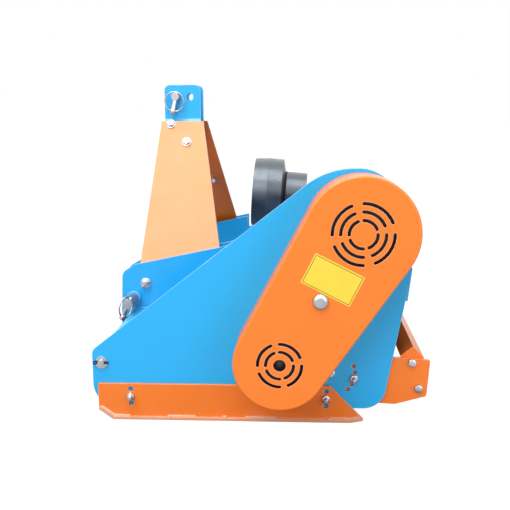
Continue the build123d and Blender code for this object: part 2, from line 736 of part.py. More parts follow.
def pulley(x, z, radius, bore):
    """Grooved pulley; each groove is wider and deeper than its belt by the belt gap."""
    wheel = rod(x, z, radius, -PULLEY_OUTER_Y, -PULLEY_INNER_Y)
    half = BELT_WIDTH / 2 + BELT_GAP
    floor = radius - BELT_DEPTH - BELT_GAP
    for centre in BELT_CENTRES:
        wheel -= tube(x, z, radius + BELT_DEPTH, floor, -centre - half, -centre + half)
    return wheel - rod(x, z, bore, -PULLEY_OUTER_Y, -PULLEY_INNER_Y)


def belts():
    """One closed loop in each groove, tangent to both groove floors."""
    lean = atan2(DRIVE_Z - ROTOR_Z, DRIVE_X)
    span = hypot(DRIVE_Z - ROTOR_Z, DRIVE_X)

    def loop(extra):
        low = ROTOR_PULLEY_RADIUS + extra
        top = DRIVE_PULLEY_RADIUS + extra
        return belt_outline(low, top, span)

    band = loop(0) - loop(-BELT_DEPTH)
    band = Pos(0, ROTOR_Z) * Rot(0, 0, degrees(lean)) * band
    return Compound(children=[
        slab(band, -centre - BELT_WIDTH / 2, -centre + BELT_WIDTH / 2) for centre in BELT_CENTRES
    ])


def belt_outline(low, top, span):
    """Face round two circles, of radius low at the origin and top at (span, 0)."""
    side = (top - low) / span
    rise = (1 - side**2) ** 0.5
    wedge = make_face(Polyline(
        (-low * side, low * rise),
        (span - top * side, top * rise),
        (span - top * side, -top * rise),
        (-low * side, -low * rise),
        close=True,
    ))
    return Circle(low) + Pos(span, 0) * Circle(top) + wedge


NODES["cross_tube"] = cross_tube()
NODES["cross_shaft"] = rod(
    DRIVE_X, DRIVE_Z, CROSS_SHAFT_RADIUS, -PULLEY_OUTER_Y, -CROSS_START_Y - SHAFT_FLOAT
)
NODES["drive_pulley"] = pulley(
    DRIVE_X, DRIVE_Z, DRIVE_PULLEY_RADIUS, CROSS_SHAFT_RADIUS
)
NODES["rotor_pulley"] = pulley(0, ROTOR_Z, ROTOR_PULLEY_RADIUS, SHAFT_RADIUS)
NODES["drive_belts"] = belts()


# Belt cover: a deep pressed sheet round both pulleys, with its vents.
def vent_ring(x, z, radius):
    """Arc slots of one ring, a bridge between each two."""
    step = 360 / VENT_COUNT
    slots = Sketch()
    for i in range(VENT_COUNT):
        arc = CenterArc((x, z), radius, i * step + VENT_BRIDGE_ANGLE, step - VENT_BRIDGE_ANGLE)
        slots += SlotArc(arc, VENT_WIDTH)
    return slots


def cover_outline(extra):
    lean = degrees(atan2(DRIVE_Z - ROTOR_Z, DRIVE_X))
    span = hypot(DRIVE_Z - ROTOR_Z, DRIVE_X)
    loop = belt_outline(COVER_LOW_RADIUS + extra, COVER_TOP_RADIUS + extra, span)
    return Pos(0, ROTOR_Z) * Rot(0, 0, lean) * loop


def belt_cover():
    rim_y = -(SIDE_OUTER_Y + COVER_SEAT_GAP)
    shell = slab(cover_outline(0), -COVER_FACE_Y, rim_y)
    face_edges = shell.faces().sort_by(Axis.Y)[0].edges()
    shell = fillet(face_edges, COVER_EDGE_RADIUS)
    shell -= slab(cover_outline(-COVER_SHEET), -COVER_FACE_Y + COVER_SHEET, rim_y)
    cuts = [vent_ring(DRIVE_X, DRIVE_Z, radius) for radius in VENT_TOP_RADII]
    cuts += [vent_ring(0, ROTOR_Z, radius) for radius in VENT_LOW_RADII]
    cuts += [disc(0, ROTOR_Z, VENT_EYE_RADIUS), disc(STUD_X, STUD_Z, STUD_RADIUS + PIN_GAP)]
    for cut in cuts:
        shell -= slab(cut, -COVER_FACE_Y, -COVER_FACE_Y + COVER_SHEET)
    skid_low = -(SKID_OUTER_Y + COVER_SEAT_GAP)
    notch = Pos(0, (skid_low + rim_y) / 2, 0) * Box(
        4 * COVER_LOW_RADIUS, rim_y - skid_low, 2 * (SKID_TOP_Z + COVER_NOTCH_GAP)
    )
    return shell - notch


def cover_stud():
    stud = rod(STUD_X, STUD_Z, STUD_RADIUS, -COVER_FACE_Y, -SIDE_INNER_Y)
    stud += rod(
        STUD_X, STUD_Z, STUD_SPACER_RADIUS, -(COVER_FACE_Y - COVER_SHEET), -SIDE_OUTER_Y
    )
    dome = rod(
        STUD_X, STUD_Z, STUD_DOME_RADIUS, -(COVER_FACE_Y + STUD_DOME_HEIGHT), -COVER_FACE_Y
    )
    rim = dome.edges().filter_by(GeomType.CIRCLE).sort_by(Axis.Y)[0]
    return stud + fillet(rim, STUD_DOME_HEIGHT - STUD_RIM_HEIGHT)


NODES["belt_cover"] = belt_cover()
NODES["cover_stud"] = cover_stud()


# Rotor: tube with welded lugs, stub shafts at both ends, and flails on the lugs' pins.
def rotor_tube():
    half = SIDE_INNER_Y - TUBE_END_GAP
    body = rod(0, 0, TUBE_RADIUS, -half, half)
    body -= rod(0, 0, TUBE_RADIUS - TUBE_WALL, -half, half)
    lug_face = make_face(Polyline(
        (-LUG_HALF_BASE, TUBE_RADIUS - TUBE_WALL / 2),
        (-FLAIL_EYE_RADIUS, PIN_CIRCLE_RADIUS),
        (-FLAIL_EYE_RADIUS / 2, PIN_CIRCLE_RADIUS + FLAIL_EYE_RADIUS),
        (FLAIL_EYE_RADIUS / 2, PIN_CIRCLE_RADIUS + FLAIL_EYE_RADIUS),
        (FLAIL_EYE_RADIUS, PIN_CIRCLE_RADIUS),
        (LUG_HALF_BASE, TUBE_RADIUS - TUBE_WALL / 2),
        close=True,
    ))
    inner = FLAIL_SHANK / 2 + FLAIL_SIDE_GAP
    lug = slab(lug_face, -inner - LUG_THICK, -inner)
    station = lug + other_side(lug)
    station += rod(0, PIN_CIRCLE_RADIUS, FLAIL_PIN_RADIUS, -inner - LUG_THICK, inner + LUG_THICK)
    body += [Pos(0, y, 0) * Rot(0, angle, 0) * station for y, angle in flail_places()]
    return Pos(0, 0, ROTOR_Z) * body


def flail_places():
    """Y and turn of each flail, in two interleaved helices."""
    half = SIDE_INNER_Y - TUBE_END_GAP - FLAIL_WIDTH / 2
    pitch = 2 * half / (FLAIL_COUNT - 1)
    return [(-half + i * pitch, i * FLAIL_TURN) for i in range(FLAIL_COUNT)]


def flail():
    """Cast flail that points up from its pin's axis, with a scooped cutting edge."""
    reach = (TIP_RADIUS**2 - (FLAIL_HEAD_DEPTH / 2) ** 2) ** 0.5 - PIN_CIRCLE_RADIUS
    neck_end = reach - FLAIL_HEAD_LENGTH
    eye = rod(0, 0, FLAIL_EYE_RADIUS, -FLAIL_SHANK / 2, FLAIL_SHANK / 2)
    shank = loft([
        Pos(0, 0, 0) * Rectangle(FLAIL_SHANK_DEPTH, FLAIL_SHANK),
        Pos(0, 0, neck_end) * Rectangle(FLAIL_HEAD_DEPTH, FLAIL_WIDTH),
    ])
    head = Pos(0, 0, neck_end) * Box(
        FLAIL_HEAD_DEPTH, FLAIL_WIDTH, FLAIL_HEAD_LENGTH, align=LOW
    )
    clear = FLAIL_EYE_RADIUS + FLAIL_SIDE_GAP
    shank -= Box(4 * clear, FLAIL_WIDTH, 2 * clear) - Box(4 * clear, FLAIL_SHANK, 2 * clear)
    body = eye + shank + head
    scoop_x = FLAIL_HEAD_DEPTH / 2 + FLAIL_SCOOP_RADIUS - FLAIL_SCOOP_DEPTH
    scoop_z = reach - FLAIL_SCOOP_DROP
    body -= rod(scoop_x, scoop_z, FLAIL_SCOOP_RADIUS, -FLAIL_WIDTH, FLAIL_WIDTH)
    return body - rod(0, 0, FLAIL_PIN_RADIUS + FLAIL_PIN_GAP, -FLAIL_WIDTH, FLAIL_WIDTH)


def flails():
    one = Pos(0, 0, PIN_CIRCLE_RADIUS) * flail()
    return Compound(children=[
        Pos(0, y, ROTOR_Z) * Rot(0, angle, 0) * one for y, angle in flail_places()
    ])


def rotor_shafts():
    disc_radius = TUBE_RADIUS - TUBE_WALL
    half = SIDE_INNER_Y - TUBE_END_GAP
    far_end = SIDE_OUTER_Y + BEARING_CAP_THICK - SHAFT_END_GAP
    ends = []
    for side, reach in ((-1, PULLEY_OUTER_Y), (1, far_end)):
        low, high = sorted((side * (half - END_DISC_THICK), side * reach))
        shaft = rod(0, ROTOR_Z, SHAFT_RADIUS, low, high)
        low, high = sorted((side * (half - END_DISC_THICK), side * half))
        ends.append(shaft + rod(0, ROTOR_Z, disc_radius, low, high))
    return Compound(children=ends)


NODES["rotor_tube"] = rotor_tube()
NODES["rotor_shafts"] = rotor_shafts()
NODES["flails"] = flails()


# Bearing housings of the rotor, outside the side plates.
def bearing_belt():
    return tube(
        0, ROTOR_Z, BEARING_RADIUS, SHAFT_RADIUS + SHAFT_GAP,
        -(SIDE_OUTER_Y + BEARING_THICK), -SIDE_OUTER_Y,
    )


def bearing_far():
    plate_end = SIDE_OUTER_Y + BEARING_THICK
    cap_end = SIDE_OUTER_Y + BEARING_CAP_THICK
    body = rod(0, ROTOR_Z, BEARING_RADIUS, SIDE_OUTER_Y, plate_end)
    body += rod(0, ROTOR_Z, BEARING_CAP_RADIUS, SIDE_OUTER_Y, cap_end)
    bore_end = cap_end - SHAFT_END_GAP / 2
    return body - rod(0, ROTOR_Z, SHAFT_RADIUS + SHAFT_GAP, SIDE_OUTER_Y, bore_end)


NODES["bearing_belt"] = bearing_belt()
NODES["bearing_far"] = bearing_far()


# Rod across the front, and the flaps that swing on it.
def flap_rod():
    end = SIDE_OUTER_Y + ROD_PROUD
    body = rod(ROD_X, ROD_Z, ROD_RADIUS, -end, end)
    for low in (-SIDE_OUTER_Y - WASHER_THICK, SIDE_OUTER_Y):
        body += rod(ROD_X, ROD_Z, WASHER_RADIUS, low, low + WASHER_THICK)
    return body


def front_flaps():
    eye_inner = ROD_RADIUS + FLAP_ROD_GAP
    eye_outer = eye_inner + FLAP_EYE_WALL
    pitch = (INNER_WIDTH - 2 * FLAP_SPACE) / FLAP_COUNT
    half = (pitch - FLAP_SPACE) / 2
    blade = Pos(ROD_X, ROD_Z - FLAP_DROP / 2) * Rectangle(FLAP_THICK, FLAP_DROP)
    face = blade + disc(ROD_X, ROD_Z, eye_outer) - disc(ROD_X, ROD_Z, eye_inner)
    one = slab(face, -half, half)
    start = -(FLAP_COUNT - 1) / 2 * pitch
    return Compound(children=[Pos(0, start + i * pitch, 0) * one for i in range(FLAP_COUNT)])


NODES["flap_rod"] = flap_rod()
NODES["front_flaps"] = front_flaps()


# The finished nodes stand with the middle of the base of their box at the origin.
box = Compound(children=[Compound(children=list(n.solids())) for n in NODES.values()])
box = box.bounding_box()
SHIFT = Pos(-(box.min.X + box.max.X) / 2, -(box.min.Y + box.max.Y) / 2, -box.min.Z)
os.makedirs("parts", exist_ok=True)
for name, node in NODES.items():
    export_step(SHIFT * Compound(children=list(node.solids())), f"parts/{name}.step")
print("shift", SHIFT.position, "nodes", len(NODES))
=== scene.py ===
import json
import logging
from collections.abc import Callable, Sequence
from dataclasses import dataclass
from enum import Enum
from functools import reduce
from math import cos, hypot, pi, radians, sin

import bpy
import numpy as np
from bpy.types import ID, Material, Node, NodeOutputs, NodeSocket, NodeTree, Object
from mathutils import Matrix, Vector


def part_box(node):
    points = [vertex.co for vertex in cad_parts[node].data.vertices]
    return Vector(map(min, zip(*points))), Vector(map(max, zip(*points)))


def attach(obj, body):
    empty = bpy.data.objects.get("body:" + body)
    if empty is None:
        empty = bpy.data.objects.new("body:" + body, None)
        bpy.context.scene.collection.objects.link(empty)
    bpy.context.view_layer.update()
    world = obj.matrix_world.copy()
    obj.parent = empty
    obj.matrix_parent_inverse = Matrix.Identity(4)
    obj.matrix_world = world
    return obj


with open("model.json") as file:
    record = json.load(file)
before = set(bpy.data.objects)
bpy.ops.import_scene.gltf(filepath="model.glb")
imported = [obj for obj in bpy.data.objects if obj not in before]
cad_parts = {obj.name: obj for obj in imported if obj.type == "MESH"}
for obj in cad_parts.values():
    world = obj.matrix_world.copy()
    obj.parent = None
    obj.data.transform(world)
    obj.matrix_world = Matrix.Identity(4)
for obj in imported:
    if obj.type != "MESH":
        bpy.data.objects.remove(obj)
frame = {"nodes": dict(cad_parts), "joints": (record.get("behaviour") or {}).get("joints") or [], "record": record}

# Looks of a three-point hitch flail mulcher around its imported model. Sizes are millimetres
# along the machine's own axes: X from the rotor's axis to the rear, Y from the middle plane
# to the far side, Z above the ground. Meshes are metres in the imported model's frame.
MM = 0.001
LOG = logging.getLogger("mulcher")
JOINTS = {joint["name"]: joint for joint in frame["joints"]}
MATERIAL_SLOT = {part["node"]: part["material_slot"] for part in frame["record"]["subparts"]}

Colour = tuple[float, float, float]
Place = tuple[float, float, float]
Spot = tuple[float, float]
Sockets = dict[str, NodeSocket]

# Signs of the belt side and the far side, and the ways that seats face.
SIDES = (-1, 1)
BELT, FAR = (0, -1, 0), (0, 1, 0)
FRONT, REAR, UP = (-1, 0, 0), (1, 0, 0), (0, 0, 1)
# Places that several sub-assemblies share: heights and (X, Z) of axes, and distances of faces
# from the middle plane.
ROTOR_Z = 143.8
CROSS_SHAFT = (152.3, 391.6)
LINK_FACE = 296.0
SIDE_INNER = 534.0
SKID_FACE = 546.0
# Edges over this angle in degrees stay sharp.
SHARP_ANGLE = 32.0
BEVEL_SAMPLES = 6
# Colours of dust on paint and plastic, of the printed line, and of the plate's edge: wear and painted highlight.
PALE_DUST = (0.60, 0.56, 0.50)
DARK_DUST = (0.42, 0.39, 0.34)
PRINT = (0.05, 0.045, 0.03)
PLATE_EDGE = (0.95, 0.86, 0.5)
# Length of a turn of thread, and of a ripple on a weld bead.
THREAD_PITCH = 1.5
RIPPLE = 5.0


def machine_origin() -> np.ndarray:
    """Point on the ground under the rotor's axis, in the middle plane, in metres."""
    low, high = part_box("hood_deck")
    return np.array([JOINTS["rotor_spin"]["pos_m"][0], (low.y + high.y) / 2, 0.0])


ORIGIN = machine_origin()


def at(x: float, y: float, z: float) -> np.ndarray:
    """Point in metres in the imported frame, from millimetres along the machine's axes."""
    return ORIGIN + MM * np.array([x, y, z])


class Body(Enum):
    """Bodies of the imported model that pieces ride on."""

    FRAME = "frame"
    ROTOR = "rotor"
    DRIVE = "drive"


@dataclass
class Shell:
    """Points in metres and the faces between them.

    Args:
        points: Array of (count, 3).
        faces: Point numbers of each face, anticlockwise from outside.
    """

    points: np.ndarray
    faces: list[list[int]]

    def placed(self, place: np.ndarray, turn: np.ndarray) -> "Shell":
        """The same faces with each point turned, then moved to the place."""
        return Shell(self.points @ turn.T + place, self.faces)

    def seated(self, place: np.ndarray, way: Sequence[float], spin: float = 0.0) -> "Shell":
        """The same faces with Z facing a way, after a spin in degrees, at the place."""
        return self.placed(place, facing(way, spin))


def joined(shells: Sequence[Shell]) -> Shell:
    """One shell of several, with the point numbers of each shifted past the ones before.

    Args:
        shells: Shells to join.

    Returns:
        A shell with all points and faces.
    """
    faces: list[list[int]] = []
    start = 0
    for shell in shells:
        faces += [[number + start for number in face] for face in shell.faces]
        start += len(shell.points)
    return Shell(np.vstack([shell.points for shell in shells]), faces)


def grid(points: np.ndarray, ring: bool = False) -> Shell:
    """Quads between neighbouring rows and columns of points, whose last column meets the first.

    Face (i, j) joins points (i, j), (i, j+1), (i+1, j+1) and (i+1, j), so rows that climb
    and columns that turn anticlockwise point outwards.

    Args:
        points: Array of (rows, columns, 3) in metres.
        ring: The last row meets the first one. Otherwise a face fills each of them.

    Returns:
        The closed shell.
    """
    number = np.arange(len(points) * len(points[0])).reshape(points.shape[:2])
    ends = [] if ring else [number[0, ::-1].tolist(), number[-1].tolist()]
    if ring:
        number = np.vstack([number, number[:1]])
    number = np.hstack([number, number[:, :1]])
    corners = [number[:-1, :-1], number[:-1, 1:], number[1:, 1:], number[1:, :-1]]
    faces = np.stack(corners, axis=-1).reshape(-1, 4).tolist()
    return Shell(points.reshape(-1, 3), faces + ends)


def around(count: int) -> np.ndarray:
    """Angles of evenly spaced points round a full turn, in radians."""
    return np.linspace(0, 2 * pi, count, endpoint=False)


def polar(radius: np.ndarray, angle: np.ndarray, level: np.ndarray) -> np.ndarray:
    """Points (r cos a, r sin a, z) in metres, of millimetre arrays that broadcast together."""
    rows = np.broadcast_arrays(radius * np.cos(angle), radius * np.sin(angle), level)
    return MM * np.stack(rows, axis=-1)


def turned(profile: Sequence[Spot], sides: int = 28, ring: bool = False) -> Shell:
    """Surface of revolution about Z: point (i, j) is (r_i cos a_j, r_i sin a_j, z_i).

    Args:
        profile: Rows of (radius, height) in millimetres, from the seat upwards.
        sides: Steps of the angle a.
        ring: The profile is closed, as a washer's is.

    Returns:
        The shell, with its seat at Z = 0.
    """
    radius, height = np.array(profile, float).T[..., None]
    return grid(polar(radius, around(sides), height), ring=ring)


def hexagon(across: float, height: float, start: float = 0.0) -> Shell:
    """Hexagonal head whose top corners are cut by a cone.

    At angle a the hexagon's radius is h(a) = (across/2) / cos(a mod 60 - 30 degrees); the
    cone of 30 degrees meets it at the height top - (h(a) - face radius) tan 30.

    Args:
        across: Size across the flats.
        height: Height of the head.
        start: Height of its seat.

    Returns:
        The shell.
    """
    angle = around(36)
    outline = across / 2 / np.cos(np.mod(angle, pi / 3) - pi / 6)
    face = np.full_like(angle, 0.47 * across)
    level = np.stack([np.full_like(angle, start),
                      start + height - (outline - face) * np.tan(pi / 6),
                      np.full_like(angle, start + height)])
    return grid(polar(np.stack([outline, outline, face]), angle, level))


def torus(radius: float, wire: float) -> Shell:
    """Closed ring of round wire in the XY plane.

    Point (i, j) is ((R + w cos b_j) cos a_i, (R + w cos b_j) sin a_i, w sin b_j).

    Args:
        radius: Radius R of the wire's middle line.
        wire: Radius w of the wire.

    Returns:
        The shell.
    """
    about = -around(12)
    points = polar(radius + wire * np.cos(about), around(49)[:, None], wire * np.sin(about))
    return grid(points, ring=True)


def facing(direction: Sequence[float], spin: float = 0.0) -> np.ndarray:
    """Turn that sends Z to a direction.

    Args:
        direction: Where Z goes, of any length.
        spin: Turn about Z before that, in degrees.

    Returns:
        A (3, 3) matrix whose columns are the new X, Y and Z.
    """
    up = np.array(direction, float) / np.linalg.norm(direction)
    side = np.cross([0.0, 0.0, 1.0] if abs(up[2]) < 0.9 else [1.0, 0.0, 0.0], up)
    side /= np.linalg.norm(side)
    basis = np.column_stack([side, np.cross(up, side), up])
    about, across = cos(radians(spin)), sin(radians(spin))
    return basis @ np.array([[about, -across, 0], [across, about, 0], [0, 0, 1]])


def rod_between(start: np.ndarray, end: np.ndarray, radius: float) -> Shell:
    """Round bar between two points in metres, its ends cut back by a fifth of its radius."""
    length = float(np.linalg.norm(end - start)) / MM
    soft = radius / 5
    profile = [(radius - soft, 0), (radius, soft), (radius, length - soft), (radius - soft, length)]
    return turned(profile, 16).seated(start, end - start)


def spun(axis: str, angle: float) -> np.ndarray:
    """Turn about X, Y or Z by an angle in degrees."""
    return np.array(Matrix.Rotation(radians(angle), 3, axis))


def threaded(radius: float, length: float, start: float) -> Shell:
    """Bolt end whose radius falls and comes back once a pitch, with a chamfer at its tip."""
    halves = range(2 * int(length / THREAD_PITCH) + 1)
    rows = [(radius - 0.3 * THREAD_PITCH * (i % 2), start + THREAD_PITCH * i / 2) for i in halves]
    return turned([*rows, (radius - 0.7 * THREAD_PITCH, start + length)], 20)


def block(width: float, height: float, depth: float, corner: float, soft: float = 0.5) -> Shell:
    """Flat bar with round corners, standing on its back at Z = 0.

    At angle a a point is (w/2 - c, h/2 - c), with the signs of (cos a, sin a), plus
    r (cos a, sin a), where r is the corner radius c, or c less the soft edge at both ends.

    Args:
        width: Size along X.
        height: Size along Y.
        depth: Size along Z.
        corner: Radius of the corners.
        soft: Width of the chamfer round the face.

    Returns:
        The shell.
    """
    quarter = np.linspace(0, pi / 2, 6)
    angle = np.concatenate([quarter + i * pi / 2 for i in range(4)])
    sign_x = np.repeat([1, -1, -1, 1], 6)
    sign_y = np.repeat([1, 1, -1, -1], 6)
    rows = []
    for reach, level in ((corner, 0), (corner, depth - soft), (corner - soft, depth)):
        x = sign_x * (width / 2 - corner) + reach * np.cos(angle)
        y = sign_y * (height / 2 - corner) + reach * np.sin(angle)
        rows.append(np.stack([x, y, np.full_like(x, level)], axis=-1))
    return grid(MM * np.array(rows))


def bead(route: Sequence[Place], radius: float) -> Shell:
    """Weld bead along straight runs, in rings across its way.

    At length s of a bead of length L the radius is r (1 + 0.10 sin(2 pi s / ripple)), times the
    sixth root of 1 - (2 s / L - 1)^6 so that both ends close.

    Args:
        route: Points in machine millimetres.
        radius: Mean radius in millimetres.

    Returns:
        The shell.
    """
    points = np.array(route, float)
    reach = np.concatenate([[0], np.cumsum(np.linalg.norm(np.diff(points, axis=0), axis=1))])
    length = np.linspace(0, reach[-1], max(12, int(reach[-1] / RIPPLE * 4)))
    middle = np.stack([np.interp(length, reach, points[:, i]) for i in range(3)], axis=-1)
    way = np.gradient(middle, axis=0)
    way /= np.linalg.norm(way, axis=1)[:, None]
    side = np.cross(way, [0.30, 0.90, 0.32])
    side /= np.linalg.norm(side, axis=1)[:, None]
    lift = np.cross(way, side)
    close = np.clip(1 - np.abs(2 * length / reach[-1] - 1) ** 6, 0.01, 1) ** (1 / 6)
    thick = radius * close * (1 + 0.10 * np.sin(2 * pi * length / RIPPLE))
    angle = around(8)
    round_part = (np.cos(angle)[None, :, None] * side[:, None] +
                  np.sin(angle)[None, :, None] * lift[:, None])
    ring = middle[:, None] + thick[:, None, None] * round_part
    return grid(ORIGIN + MM * ring)


def linked(name: str, data: ID) -> Object:
    """New object with its data, in the scene."""
    made = bpy.data.objects.new(name, data)
    bpy.context.scene.collection.objects.link(made)
    return made


class Graph:
    """Adds nodes to a tree, with their inputs linked or set in one call."""

    def __init__(self, tree: NodeTree) -> None:
        """Keeps the tree that nodes go into."""
        self.tree = tree

    def fill(self, node: Node, inputs: dict) -> Node:
        """Sets inputs of a node, by socket name or number, or links those given an output."""
        for key, value in inputs.items():
            if isinstance(value, NodeSocket):
                self.tree.links.new(value, node.inputs[key])
            else:
                node.inputs[key].default_value = value
        return node

    def add(self, kind: str, inputs: dict | None = None, **settings: object) -> Node:
        """Adds one node.

        Args:
            kind: Blender's name of the node.
            inputs: Socket name or number to a value, or to an output socket to link.
            settings: Properties of the node.

        Returns:
            The node.
        """
        node = self.tree.nodes.new(kind)
        for key, value in settings.items():
            setattr(node, key, value)
        return self.fill(node, inputs or {})

    def effect(self, tree: NodeTree, **inputs: float) -> NodeOutputs:
        """Outputs of a shared group with its own values."""
        return self.add("ShaderNodeGroup", inputs, node_tree=tree).outputs

    def place(self) -> NodeSocket:
        """Place in the object's own coordinates."""
        return self.add("ShaderNodeTexCoord").outputs["Object"]

    def axes(self, vector: NodeSocket) -> NodeOutputs:
        """X, Y and Z of a vector."""
        return self.add("ShaderNodeSeparateXYZ", {0: vector}).outputs

    def normal(self) -> NodeSocket:
        """Normal of the flat face."""
        return self.add("ShaderNodeNewGeometry").outputs["Normal"]

    def path(self) -> NodeOutputs:
        """Kinds of ray that look at the surface."""
        return self.add("ShaderNodeLightPath").outputs

    def rounded(self, radius: object) -> NodeSocket:
        """Normal over edges rounded by a radius in metres."""
        return self.add("ShaderNodeBevel", {"Radius": radius}, samples=BEVEL_SAMPLES).outputs[0]

    def noise(self, scale: object, detail: object, roughness: float = 0.5,
              vector: NodeSocket | None = None) -> NodeSocket:
        """Noise over the object's coordinates, or over another vector."""
        inputs = {"Vector": self.place() if vector is None else vector, "Scale": scale,
                  "Detail": detail, "Roughness": roughness}
        return self.add("ShaderNodeTexNoise", inputs).outputs[0]

    def maths(self, operation: str, *values: object) -> NodeSocket:
        """Output of a Math node on the values."""
        return self.add("ShaderNodeMath", dict(enumerate(values)), operation=operation).outputs[0]

    def product(self, *values: object) -> NodeSocket:
        """Product of the values, from left to right."""
        return reduce(lambda first, second: self.maths("MULTIPLY", first, second), values)

    def ranged(self, value: object, low: float, high: float, to_low: float = 0.0,
               to_high: float = 1.0) -> NodeSocket:
        """Value mapped from low..high to to_low..to_high, clamped."""
        inputs = {"Value": value, "From Min": low, "From Max": high, "To Min": to_low,
                  "To Max": to_high}
        return self.add("ShaderNodeMapRange", inputs, clamp=True).outputs["Result"]

    def mixed_value(self, share: object, first: object, second: object) -> NodeSocket:
        """Mix of two numbers: first where the share is 0, second where it is 1."""
        return self.add("ShaderNodeMix", {0: share, 2: first, 3: second}).outputs[0]

    def mixed(self, share: object, first: object, second: object) -> NodeSocket:
        """Colour between the first and the second by a share."""
        ends = [value if isinstance(value, NodeSocket) else (*value, 1.0)
                for value in (first, second)]
        inputs = {0: share, 6: ends[0], 7: ends[1]}
        return self.add("ShaderNodeMix", inputs, data_type="RGBA").outputs[2]


def grouped(name: str, inputs: dict[str, float],
            filling: Callable[[Graph, NodeOutputs], Sockets]) -> NodeTree:
    """Makes a shader group with float inputs and outputs.

    Args:
        name: Name of the group.
        inputs: Input names and their defaults.
        filling: Adds the nodes between the inputs and the outputs, which it returns by name.

    Returns:
        The group's tree.
    """
    tree = bpy.data.node_groups.new(name, "ShaderNodeTree")
    for label, value in inputs.items():
        socket = tree.interface.new_socket(label, in_out="INPUT", socket_type="NodeSocketFloat")
        socket.default_value = value
    graph = Graph(tree)
    made = filling(graph, graph.add("NodeGroupInput").outputs)
    for label in made:
        tree.interface.new_socket(label, in_out="OUTPUT", socket_type="NodeSocketFloat")
    graph.add("NodeGroupOutput", made)
    return tree


class Effects:
    """Shader groups that several finishes share."""

    def __init__(self) -> None:
        """Builds each group once."""
        self.edge = grouped("edge_wear_and_sheen", {"Width": 0.0012, "Amount": 1.0}, self.edge_wear_and_sheen)
        self.grain = grouped("fine_grain", {"Scale": 900.0, "Detail": 2.0}, self.fine_grain)
        self.cloud = grouped("slow_cloud", {"Scale": 5.0}, self.slow_cloud)
        self.dust = grouped("settled_dust", {"Amount": 0.3}, self.settled_dust)

    @staticmethod
    def edge_wear_and_sheen(graph: Graph, given: NodeOutputs) -> Sockets:
        """Mask along sharp edges, from the cosine between the rounded and the flat normal."""
        # The pale edge line from this mask is partly wear and partly painted highlight.
        dot = graph.add("ShaderNodeVectorMath", {0: graph.rounded(given["Width"]),
                                                 1: graph.normal()}, operation="DOT_PRODUCT")
        bend = graph.ranged(dot.outputs["Value"], 0.995, 0.80)
        broken = graph.ranged(graph.noise(55.0, 4.0, 0.6), 0.25, 0.55, 0.45, 1.0)
        return {"Mask": graph.product(bend, broken, given["Amount"])}

    @staticmethod
    def fine_grain(graph: Graph, given: NodeOutputs) -> Sockets:
        """Fine relief of a surface and the roughness that goes with it."""
        return {"Height": graph.noise(given["Scale"], given["Detail"]),
                "Rough": graph.ranged(graph.noise(38.0, 3.0), 0.3, 0.7)}

    @staticmethod
    def slow_cloud(graph: Graph, given: NodeOutputs) -> Sockets:
        """Slow change of tone over a panel, with a few faint rubs in it."""
        stretch = graph.add("ShaderNodeMapping", {
            "Vector": graph.place(), "Scale": (9.0, 9.0, 60.0),
            "Rotation": (0.0, radians(35.0), 0.0)})
        rubs = graph.noise(1.6, 5.0, 0.65, stretch.outputs[0])
        return {"Tone": graph.ranged(graph.noise(given["Scale"], 3.0), 0.3, 0.7),
                "Rubs": graph.ranged(rubs, 0.60, 0.74)}

    @staticmethod
    def settled_dust(graph: Graph, given: NodeOutputs) -> Sockets:
        """Mask of pale dust on what faces up, and near the ground."""
        flat = graph.ranged(graph.axes(graph.normal())["Z"], 0.55, 0.98)
        low = graph.ranged(graph.axes(graph.place())["Z"], 0.05, 0.0)
        patches = graph.ranged(graph.noise(22.0, 6.0, 0.7), 0.35, 0.75)
        return {"Mask": graph.product(graph.maths("MAXIMUM", flat, low), patches,
                                      given["Amount"])}


EFFECTS = Effects()


def started(name: str) -> tuple[Material, Graph, Node]:
    """New material with its graph and its Principled shader."""
    material = bpy.data.materials.new(name)
    material.use_nodes = True
    graph = Graph(material.node_tree)
    shader = next(n for n in material.node_tree.nodes if n.type == "BSDF_PRINCIPLED")
    return material, graph, shader


def shade(tone: Colour, factor: float) -> Colour:
    """A colour made lighter or darker by a factor."""
    return tuple(min(1.0, factor * part) for part in tone)


class Surface(Graph):
    """Graph of a material with its Principled shader, the shared effects and its colour."""

    def __init__(self, name: str, colours: tuple[Colour, Colour], cloud: float, grain: Spot,
                 edge: Spot) -> None:
        """Starts the material.

        Args:
            name: Name of the material.
            colours: Colours that the cloud goes between, under all others.
            cloud: Scale of the cloud.
            grain: Scale and detail of the grain.
            edge: Width in metres and amount of the pale line along edges, partly wear, partly painted highlight.
        """
        self.material, graph, self.shader = started(name)
        super().__init__(graph.tree)
        self.cloud = self.effect(EFFECTS.cloud, Scale=cloud)
        self.colour = self.mixed(self.cloud["Tone"], *colours)
        self.grain = self.effect(EFFECTS.grain, Scale=grain[0], Detail=grain[1])
        # Mask of the pale edge line: partly wear, partly painted highlight.
        self.edge_wear_and_sheen_mask = self.effect(EFFECTS.edge, Width=edge[0], Amount=edge[1])["Mask"]

    def lay(self, share: NodeSocket, colour: Colour) -> None:
        """Lays a colour over what is there, by a share."""
        self.colour = self.mixed(share, self.colour, colour)

    def roughness(self, mean: float, below: float, above: float) -> NodeSocket:
        """Roughness that goes with the grain, from below the mean to above it."""
        return self.ranged(self.grain["Rough"], 0.0, 1.0, mean - below, mean + above)

    def finished(self, rough: NodeSocket, depth: float, radius: float, **values: object
                 ) -> Material:
        """Feeds the shader with the colour, the roughness and the relief.

        Args:
            rough: The roughness.
            depth: Depth of the relief in metres.
            radius: Radius in metres of the soft edges under it.
            values: Other inputs, with _ for each space in their names.

        Returns:
            The material.
        """
        bump = self.add("ShaderNodeBump", {
            "Height": self.grain["Height"], "Distance": depth, "Strength": 1.0,
            "Normal": self.rounded(radius)})
        named = {key.replace("_", " "): value for key, value in values.items()}
        self.fill(self.shader, {"Base Color": self.colour, "Roughness": rough,
                                "Normal": bump.outputs[0], **named})
        return self.material


